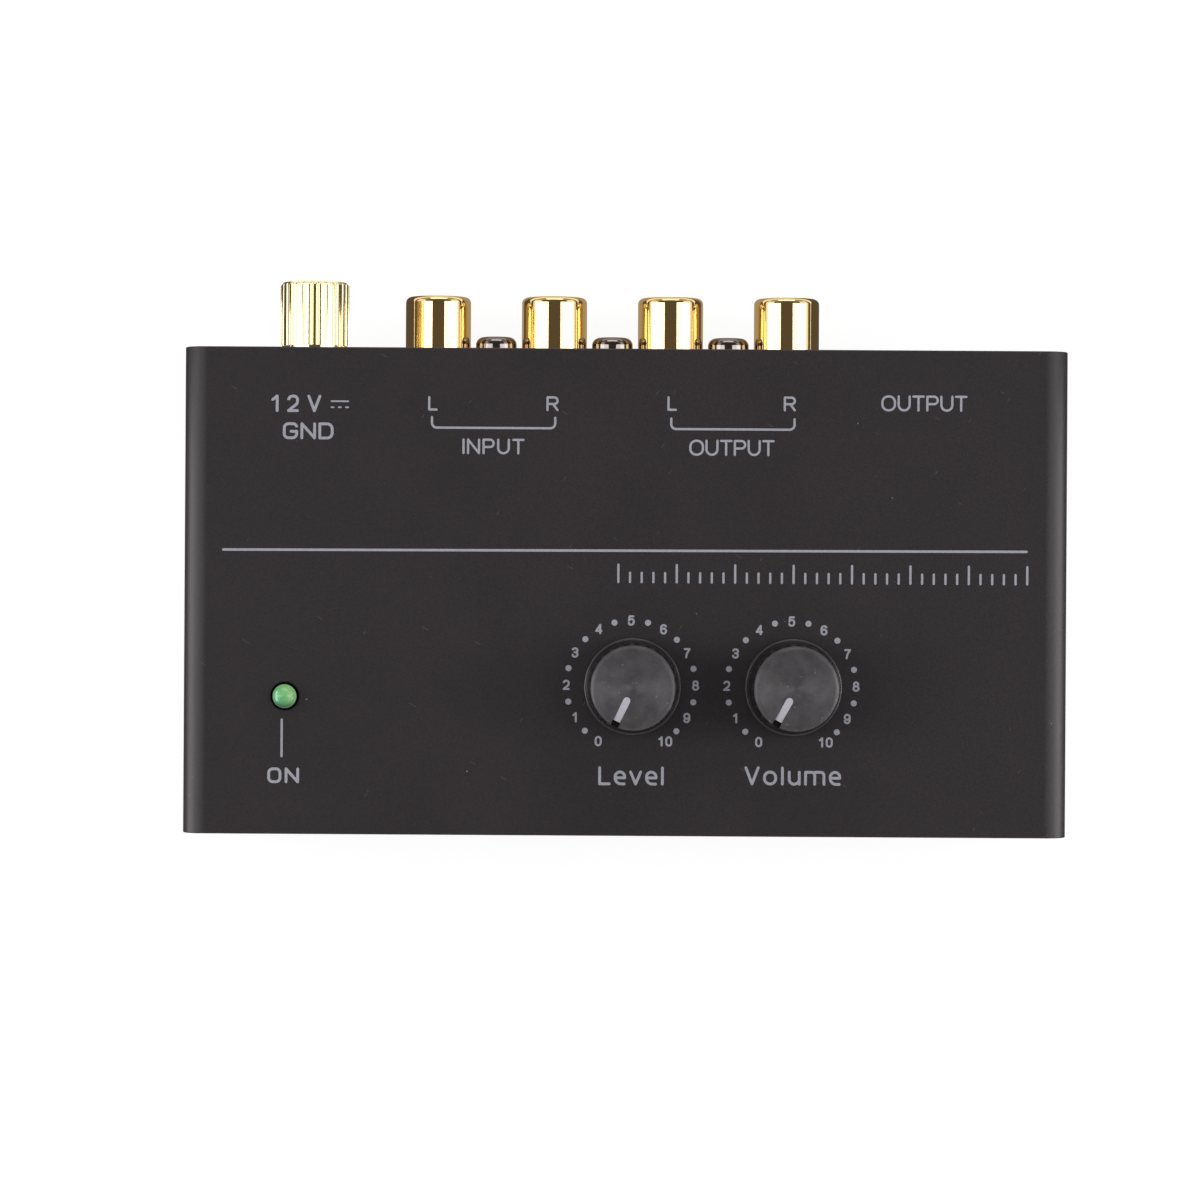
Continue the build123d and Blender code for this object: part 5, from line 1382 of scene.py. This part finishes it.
class PREAMP_OT_knobs(bpy.types.Operator):
    """Turn both knobs, with their dished faces, and lay the pointers in their grooves"""

    bl_idname = "preamp.knobs"
    bl_label = "Knobs and pointers"

    def execute(self, context):
        s = context.scene.preamp_knobs
        for control in CONTROLS:
            low, high, middle = box_sizes(control + "_knob")
            base = (high.x - low.x) / 2
            place = upright(middle.x, middle.y)
            bm = bmesh.new()
            turned(bm, self.outline(s, base, low.z, high.z), place, turns=128)
            groove, bar = self.pointer_shapes(s, control)
            name, body = control + "_dial_knob", control + "_control"
            mesh = smoothed(cut_from(mesh_from(bm, name), groove, name), below=35)
            piece(name, mesh, knob_plastic(), body, [control + "_knob"])
            name = control + "_pointer_bar"
            piece(name, mesh_from(bar, name), pointer_paint(), body,
                  [control + "_pointer"])
        return {"FINISHED"}

    @staticmethod
    def outline(s, base, low, high):
        """A knob's outline, from the bore's end over the underside to the dished face."""
        waist = base - s.flange
        top = waist - s.taper
        boss = s.bore + s.boss_wall
        hollow = top - s.side_wall
        bore_top, hollow_top = low + s.bore_depth, low + s.hollow_depth
        corners = [
            (0, bore_top), (s.bore, bore_top), (s.bore, low), (boss, low), (boss, hollow_top),
            (hollow, hollow_top), (hollow, low), (base, low, s.lower_edge),
            (base, low + s.base_height, s.base_edge), (waist, low + s.base_height, s.fillet),
            (top, high, s.top_edge),
        ]
        rim = top - s.top_edge
        ball = (rim**2 + s.dish**2) / (2 * s.dish)
        face = [rim * (1 - n / DISH_STEPS) for n in range(DISH_STEPS + 1)]
        points = rounded(corners + [(rim, high)], step=math.radians(8))[:-1]
        return points + [(r, high - s.dish + ball - math.sqrt(ball**2 - r**2)) for r in face]

    @staticmethod
    def pointer_shapes(s, control):
        """The groove's cutter and the bar, along the pointer node's own direction."""
        axis = box_sizes(control + "_knob")[2]
        verts = [v.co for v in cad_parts[control + "_pointer"].data.vertices]
        middle = sum(verts, Vector()) / len(verts)
        along = Vector((middle.x - axis.x, middle.y - axis.y, 0)).normalized()
        across = Vector((-along.y, along.x, 0))
        reach = [(v - axis).dot(along) for v in verts]
        half = max(abs((v - axis).dot(across)) for v in verts)
        floor, top = min(v.z for v in verts), max(v.z for v in verts)
        turn = Matrix((along, across, Vector((0, 0, 1)))).transposed().to_4x4()
        place = Matrix.Translation((axis.x, axis.y, 0)) @ turn
        start, end = min(reach), max(reach)
        bar = bmesh.new()
        corners = [(start, -half, half), (end, -half), (end, half), (start, half, half)]
        prism(bar, rounded(corners, closed=True), place, floor, top)
        wide, far = half + s.groove_gap, end + GROOVE_PAST_END
        near = start - s.groove_gap
        groove = bmesh.new()
        corners = [(near, -wide, wide), (far, -wide), (far, wide), (near, wide, wide)]
        prism(groove, rounded(corners, closed=True), place, floor, top + GROOVE_ABOVE)
        return groove, bar


DOME_STEPS = 16


class PREAMP_OT_power_light(bpy.types.Operator):
    """Turn the power light's domed lens and its flange"""

    bl_idname = "preamp.power_light"
    bl_label = "Power light"

    def execute(self, context):
        s = context.scene.preamp_light
        low, high, middle = box_sizes("power_light")
        flange = (high.x - low.x) / 2
        flange_top = low.z + s.flange_height
        spring = high.z - s.lens
        dome = [(s.lens * math.cos(a), spring + s.lens * math.sin(a))
                for a in (math.pi / 2 * n / DOME_STEPS for n in range(DOME_STEPS))]
        outline = rounded([
            (0, low.z), (flange, low.z, s.flange_edge), (flange, flange_top, s.flange_edge),
            (s.lens, flange_top), (s.lens, spring),
        ])[:-1] + dome + [(0, high.z)]
        bm = bmesh.new()
        turned(bm, outline, upright(middle.x, middle.y), turns=64)
        name = "green_light_lens"
        piece(name, mesh_from(bm, name), light_lens(), "case", ["power_light"])
        return {"FINISHED"}


CORE_GAP = 0.05 * MM
RING_ROUNDINGS = (0.1 * MM, 0.05 * MM, 0.12 * MM)  # its outer edge, its floor, the mouth's edge


class PREAMP_OT_phono_sockets(bpy.types.Operator):
    """Draw the four gold barrels with rolled mouths, and mould their white and red cores"""

    bl_idname = "preamp.phono_sockets"
    bl_label = "Phono sockets"

    def execute(self, context):
        s = context.scene.preamp_sockets
        cores = {"left": bmesh.new(), "right": bmesh.new()}
        for name in PHONO_SOCKETS:
            low, high, middle = box_sizes(name + "_barrel")
            radius = (high.x - low.x) / 2
            place = backward(middle.x, middle.z)
            bm = bmesh.new()
            turned(bm, self.barrel_outline(s, radius, low.y, high.y), place, closed=True, turns=128)
            made = name + "_gold_barrel"
            piece(made, mesh_from(bm, made), gold_plate(), "case", [name + "_barrel"])
            core = self.core_outline(s, radius, low.y, high.y)
            turned(cores[name.split("_")[1]], core, place, closed=True)
        for side, bm in cores.items():
            made = side + "_socket_cores"
            piece(made, mesh_from(bm, made), core_plastic(side), "case",
                  [side + "_insulators"])
        return {"FINISHED"}

    @staticmethod
    def barrel_outline(s, radius, foot, mouth):
        """A barrel's shell, from its root to the rolled mouth and back inside."""
        root, inner = radius - s.shoulder, radius - s.wall
        shoulder = REAR_FACE + s.shoulder_proud
        lip = radius - s.rim
        return rounded([
            (root, foot), (root, shoulder), (radius, shoulder, s.shoulder_edge),
            (radius, mouth, s.rim), (lip, mouth), (lip, mouth - s.wall),
            (inner, mouth - s.wall, s.rim - s.wall), (inner, shoulder + s.wall),
            (root - s.wall, shoulder + s.wall), (root - s.wall, foot),
        ], closed=True, step=math.radians(7))

    @staticmethod
    def core_outline(s, radius, foot, mouth):
        """A socket's core, with a sunk ring round the mouth for the plug's pin."""
        wide = radius - s.wall - CORE_GAP
        narrow = radius - s.shoulder - s.wall - CORE_GAP
        shelf = REAR_FACE + s.shoulder_proud + s.wall + CORE_GAP
        face = mouth - s.core_recess
        edge = s.rim - s.wall + s.core_edge
        ring, sunk = s.mouth + s.ring, face - s.ring_depth
        contact_end = face - s.lip
        ring_edge, ring_fillet, mouth_edge = RING_ROUNDINGS
        return rounded([
            (narrow, foot), (narrow, shelf), (wide, shelf), (wide, face, edge),
            (ring + s.ring_depth, face, ring_edge), (ring, sunk, ring_fillet),
            (s.mouth, sunk, mouth_edge), (s.mouth, contact_end), (s.contact_seat, contact_end),
            (s.contact_seat, foot),
        ], closed=True)


STEPS_PER_RIB, CHAMFER_STEPS = 16, 6


class PREAMP_OT_thumb_nut(bpy.types.Operator):
    """Cut the ground terminal's ribbed thumb nut"""

    bl_idname = "preamp.thumb_nut"
    bl_label = "Ground thumb nut"

    def execute(self, context):
        s = context.scene.preamp_ground
        low, high, middle = box_sizes("ground_nut")
        radius = (high.z - low.z) / 2
        turns = s.ribs * STEPS_PER_RIB
        place = backward(middle.x, middle.z)
        chamfer = [
            (radius - s.edge * n / CHAMFER_STEPS, high.y - s.edge * (1 - n / CHAMFER_STEPS))
            for n in range(CHAMFER_STEPS + 1)
        ]
        bm = bmesh.new()
        rings = []
        for limit, along in ((radius, low.y), *chamfer):
            ring = []
            for n in range(turns):
                angle = 2 * math.pi * n / turns
                off = ((n % STEPS_PER_RIB) / STEPS_PER_RIB - 0.5) * 2 * math.pi / s.ribs
                reach = min(limit, self.rib_reach(radius, off, s.groove))
                point = Vector((reach * math.cos(angle), reach * math.sin(angle), along))
                ring.append(bm.verts.new(place @ point))
            rings.append(ring)
        sunk, bore_end = high.y - s.dimple_depth, high.y - s.cap
        rings += [
            circle(bm, place, reach, along, turns)
            for reach, along in ((s.dimple, high.y), (s.dimple - s.dimple_depth, sunk), (0, sunk))
        ]
        bore, bore_top, floor = (
            circle(bm, place, reach, along, turns)
            for reach, along in ((s.bore, low.y), (s.bore, bore_end), (0, bore_end))
        )
        bridge_all(bm, [floor, bore_top, bore, *rings])
        name = "ribbed_thumb_nut"
        mesh = mesh_from(bm, name, smooth_below=28)
        piece(name, mesh, pale_gold(), "ground_thumb_nut", ["ground_nut"])
        return {"FINISHED"}

    @staticmethod
    def rib_reach(radius, off, groove):
        """The nut's radius at an angle from the nearest groove's middle."""
        across = radius * math.sin(off)
        if abs(across) >= groove:
            return radius
        return radius * math.cos(off) - math.sqrt(groove**2 - across**2)


class PREAMP_OT_legends(bpy.types.Operator):
    """Print the words, brackets, lines and tick marks on the cover"""

    bl_idname = "preamp.legends"
    bl_label = "Words and lines"

    def execute(self, context):
        s = context.scene.preamp_legends
        words = Printer()
        kinds = ((BOLD_WORDS, s.bold, GLYPHS | WIDE_GLYPHS), (THIN_WORDS, s.thin, GLYPHS))
        for words_now, stroke, glyphs in kinds:
            for text, x, y, width, height in words_now:
                words.word(text, x * MM, y * MM, width * MM, height * MM, stroke, glyphs)
        sign = [(0, CURRENT_WIDTH, CURRENT_LINE_Y)]
        sign += [(n * CURRENT_PITCH, CURRENT_DASH, CURRENT_DASH_Y) for n in (-1, 0, 1)]
        for across, width, y in sign:
            ends = tuple((CURRENT_X + across + side * width / 2, y) for side in (-1, 1))
            words.line(ends, s.fine)
        words.piece("printed_words")
        lines = Printer()
        for left, right in BRACKETS:
            path = ((left, BRACKET_TOP), (left, BRACKET_BAR, BRACKET_CORNER),
                    (right, BRACKET_BAR, BRACKET_CORNER), (right, BRACKET_TOP))
            lines.line(path, s.thin)
        lines.line(RULE, s.rule)
        lines.line(tuple((LIGHT_LINE_X, y) for y in LIGHT_LINE_ENDS), s.thin)
        foot = TICKS_Y - TICK_TALL / 2
        for n in range(TICK_COUNT):
            x = TICKS_FROM + (TICKS_TO - TICKS_FROM) * n / (TICK_COUNT - 1)
            height = TICK_SHORT if n % TALL_EVERY else TICK_TALL
            lines.line(((x, foot), (x, foot + height)), s.thin)
        lines.piece("printed_lines")
        return {"FINISHED"}


class PREAMP_OT_dials(bpy.types.Operator):
    """Print the dots and the numbers 0 to 10 round each knob"""

    bl_idname = "preamp.dials"
    bl_label = "Dial scales"

    def execute(self, context):
        s = context.scene.preamp_legends
        dials = Printer()
        for control in CONTROLS:
            middle = box_sizes(control + "_knob")[2]
            x = middle.x - CASE_MIDDLE.x + DIAL_SHIFT[0] * MM
            y = middle.y - CASE_MIDDLE.y + DIAL_SHIFT[1] * MM
            for n in range(DIAL_NUMBERS):
                angle = math.radians((n - (DIAL_NUMBERS - 1) / 2) * DIAL_STEP)
                text, height = str(n), s.numeral_height
                gaps = DIGIT_GAP * height * (len(text) - 1)
                width = sum(GLYPHS[t][0] for t in text) * height + gaps
                shift = TWO_DIGIT_SHIFT * MM if len(text) > 1 else 0.0
                right, back = s.dial * math.sin(angle), s.dial * math.cos(angle)
                dials.word(text, x + right + shift, y + back, width, height, s.numeral)
                if n < DIAL_NUMBERS - 1:
                    between = angle + math.radians(DIAL_STEP / 2)
                    dials.dot(x + s.dial * math.sin(between), y + s.dial * math.cos(between), s.dot)
        dials.piece("printed_dials")
        return {"FINISHED"}


class PREAMP_OT_finishes(bpy.types.Operator):
    """Give every node of the construction that stays in view its finish"""

    bl_idname = "preamp.finishes"
    bl_label = "Finishes of the other parts"

    def execute(self, context):
        for name, material in node_finishes().items():
            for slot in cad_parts[name].material_slots:
                slot.material = material
        return {"FINISHED"}


def lamp(name, size_x, size_y, place, power):
    """A softbox aimed at the middle of the case."""
    data = bpy.data.lights.new(name, "AREA")
    data.shape = "RECTANGLE"
    data.size, data.size_y = size_x, size_y
    data.energy = power
    made = bpy.data.objects.new(name, data)
    made.location = place
    made.rotation_euler = (CASE_MIDDLE - Vector(place)).to_track_quat("-Z", "Y").to_euler()
    bpy.context.scene.collection.objects.link(made)


def flat_sheet(name, half_x, half_y, place):
    """A flat stage sheet that isn't part of the object."""
    bm = bmesh.new()
    corners = [(-half_x, -half_y), (half_x, -half_y), (half_x, half_y), (-half_x, half_y)]
    bm.faces.new([bm.verts.new((x, y, 0)) for x, y in corners])
    mesh = bpy.data.meshes.new(name)
    bm.to_mesh(mesh)
    bm.free()
    made = object_from(mesh, name)
    made.location = place
    return made


def seen_ray(g):
    """1 for rays that show a background: from the camera, off metal and through glass."""
    path = g.add("LightPath").outputs
    seen = g.math("MAXIMUM", path["Is Camera Ray"], path["Is Glossy Ray"])
    return g.math("MAXIMUM", seen, path["Is Transmission Ray"])


# ---- the stage, in metres --------------------------------------------------------
WHITE = (1.0, 1.0, 1.0)
# the softboxes: width, depth, place and the setting that holds the power
LAMPS = {
    "left_softbox": (0.24, 0.62, (-0.49, 0.02, 0.48), "left_lamp"),
    "right_softbox": (0.24, 0.62, (0.49, 0.02, 0.48), "right_lamp"),
    "rear_softbox": (0.60, 0.30, (0.0, 0.75, 0.32), "rear_lamp"),
}
SENSOR_WIDTH, CLIP = 36.0, (0.01, 20.0)
FLOOR_HALF = 2.5
CARD_RISE = 0.0001  # how high the floor's cards lie over it
# the floor's cards under and behind the sockets, dark as a painted shadow of the floor for
# reflections and grey between the middle sockets: left edge, right edge and shade
REAR_CARDS = ((-0.25, -0.0275, "dark"), (-0.0275, 0.024, "grey"), (0.024, 0.25, "dark"))
REAR_CARD_Y, REAR_CARD_HALF = 0.0435, 0.021
# every card: name, half width, half depth, place, turn about X and Y in degrees, and shade
CARDS = (
    ("overhead_card", 0.20, 0.40, (0, 0, 0.55), (0, 0), "dark"),
    ("ceiling_card", 1.2, 1.2, (0, 0, 1.1), (0, 0), "dark"),
    # painted shadow: a dark sheet under the case that reflections show where the floor lies in
    # shadow
    ("floor_card", 0.130, 0.062, (0, -0.038, CARD_RISE), (0, 0), "dark"),
    *(
        ("rear_floor_card", (right - left) / 2, REAR_CARD_HALF,
         ((left + right) / 2, REAR_CARD_Y, CARD_RISE), (0, 0), shade)
        for left, right, shade in REAR_CARDS
    ),
    ("end_card", 1.2, 0.55, (0, -1.1, 0.55), (90, 0), "grey"),
    ("end_card", 1.2, 0.55, (0, 1.1, 0.55), (90, 0), "grey"),
    ("low_card", 0.045, 0.5, (-0.5, 0, 0.05), (0, 90), "dark"),
    ("near_card", 0.016, 0.044, (-0.105, -0.022, 0.036), (0, 90), "pale"),
    ("low_card", 0.045, 0.5, (0.5, 0, 0.05), (0, 90), "dark"),
    ("near_card", 0.016, 0.044, (0.105, -0.022, 0.036), (0, 90), "pale"),
)


class PREAMP_OT_stage(bpy.types.Operator):
    """Lay the pale floor, hang the lamps and set the camera"""

    bl_idname = "preamp.stage"
    bl_label = "Stage"

    def execute(self, context):
        s = context.scene.preamp_stage
        self.floor(s)
        self.cards(s)
        self.world(context, s)
        for name, (width, depth, place, power) in LAMPS.items():
            lamp(name, width, depth, place, getattr(s, power))
        self.camera(context, s)
        context.scene.view_settings.view_transform = "Standard"
        return {"FINISHED"}

    @staticmethod
    def floor(s):
        """A pale floor that shows white, with the object's shadow on it."""
        sheet = flat_sheet("studio_floor", FLOOR_HALF, FLOOR_HALF, (0, 0, 0))
        material = bpy.data.materials.new("studio_floor")
        material.use_nodes = True
        tree = material.node_tree
        tree.nodes.clear()
        g = Graph(tree)
        plain = g.add("BsdfDiffuse", {"Color": tuple(s.floor)})
        shaded = g.add("BsdfDiffuse", {"Color": (s.floor_shade,) * 3})
        glow = g.add("Emission", {"Color": WHITE, "Strength": s.floor_glow})
        both = g.add("AddShader")
        g.feed(both.inputs[0], shaded.outputs[0])
        g.feed(both.inputs[1], glow.outputs[0])
        choice = g.add("MixShader", {"Fac": seen_ray(g)})
        g.feed(choice.inputs[1], plain.outputs[0])
        g.feed(choice.inputs[2], both.outputs[0])
        out = g.add("OutputMaterial")
        g.feed(out.inputs["Surface"], choice.outputs[0])
        sheet.data.materials.append(material)

    @staticmethod
    def cards(s):
        """Cards that only reflections show, in three shades."""
        shades = {
            "dark": (tuple(s.card), 1.0), "grey": (tuple(s.card), s.end_glow),
            "pale": (WHITE, s.card_glow),
        }
        sheets = {shade: [] for shade in shades}
        for name, half_x, half_y, place, (turn_x, turn_y), shade in CARDS:
            card = flat_sheet(name, half_x, half_y, place)
            card.rotation_euler = (math.radians(turn_x), math.radians(turn_y), 0)
            card.visible_camera = card.visible_diffuse = False
            card.visible_shadow = card.visible_transmission = False
            sheets[shade].append(card)
        for shade, (tone, brightness) in shades.items():
            material = bpy.data.materials.new(shade + "_card")
            material.use_nodes = True
            material.node_tree.nodes.clear()
            g = Graph(material.node_tree)
            light = g.add("Emission", {"Color": tone, "Strength": brightness})
            g.feed(g.add("OutputMaterial").inputs["Surface"], light.outputs[0])
            for card in sheets[shade]:
                card.data.materials.append(material)

    @staticmethod
    def world(context, s):
        """White where it is seen, and a softer light everywhere else."""
        world = bpy.data.worlds.new("studio")
        world.use_nodes = True
        tree = world.node_tree
        tree.nodes.clear()
        g = Graph(tree)
        dim = g.add("Background", {"Color": WHITE, "Strength": s.ambient})
        white = g.add("Background", {"Color": WHITE, "Strength": 1.0})
        choice = g.add("MixShader", {"Fac": seen_ray(g)})
        g.feed(choice.inputs[1], dim.outputs[0])
        g.feed(choice.inputs[2], white.outputs[0])
        out = g.add("OutputWorld")
        g.feed(out.inputs["Surface"], choice.outputs[0])
        context.scene.world = world

    @staticmethod
    def camera(context, s):
        """The camera, straight over the case."""
        data = bpy.data.cameras.new("overhead_camera")
        data.sensor_width = SENSOR_WIDTH
        data.lens = data.sensor_width * s.camera_rise / s.view_width
        data.clip_start, data.clip_end = CLIP
        made = bpy.data.objects.new("overhead_camera", data)
        made.location = (s.camera_x, s.camera_y, CASE_TOP + s.camera_rise)
        made.rotation_euler = (0, 0, s.camera_roll)
        context.scene.collection.objects.link(made)
        context.scene.camera = made


OPERATORS = (
    PREAMP_OT_cover, PREAMP_OT_screws, PREAMP_OT_feet, PREAMP_OT_knobs, PREAMP_OT_power_light,
    PREAMP_OT_phono_sockets, PREAMP_OT_thumb_nut, PREAMP_OT_legends, PREAMP_OT_dials,
    PREAMP_OT_finishes, PREAMP_OT_stage,
)


class PREAMP_PT_pieces(bpy.types.Panel):
    """Lists the operators and the sizes and colours that they read"""

    bl_idname = "PREAMP_PT_pieces"
    bl_label = "Phono preamplifier"
    bl_space_type = "VIEW_3D"
    bl_region_type = "UI"
    bl_category = "Preamp"

    def draw(self, context):
        for operator in OPERATORS:
            self.layout.operator(operator.bl_idname)
        for name, settings in SETTINGS.items():
            box = self.layout.box()
            box.label(text=settings.__doc__)
            for key in settings.__annotations__:
                box.prop(getattr(context.scene, name), key)


def register():
    """Registers the settings, the operators and the panel."""
    for name, settings in SETTINGS.items():
        bpy.utils.register_class(settings)
        setattr(bpy.types.Scene, name, PointerProperty(type=settings))
    for made in (*OPERATORS, PREAMP_PT_pieces):
        bpy.utils.register_class(made)


def unregister():
    """Takes them all away again."""
    for made in (PREAMP_PT_pieces, *reversed(OPERATORS)):
        bpy.utils.unregister_class(made)
    for name, settings in reversed(SETTINGS.items()):
        delattr(bpy.types.Scene, name)
        bpy.utils.unregister_class(settings)


def main():
    register()
    for operator in OPERATORS:
        group, name = operator.bl_idname.split(".")
        getattr(getattr(bpy.ops, group), name)()


if __name__ == "__main__":
    main()
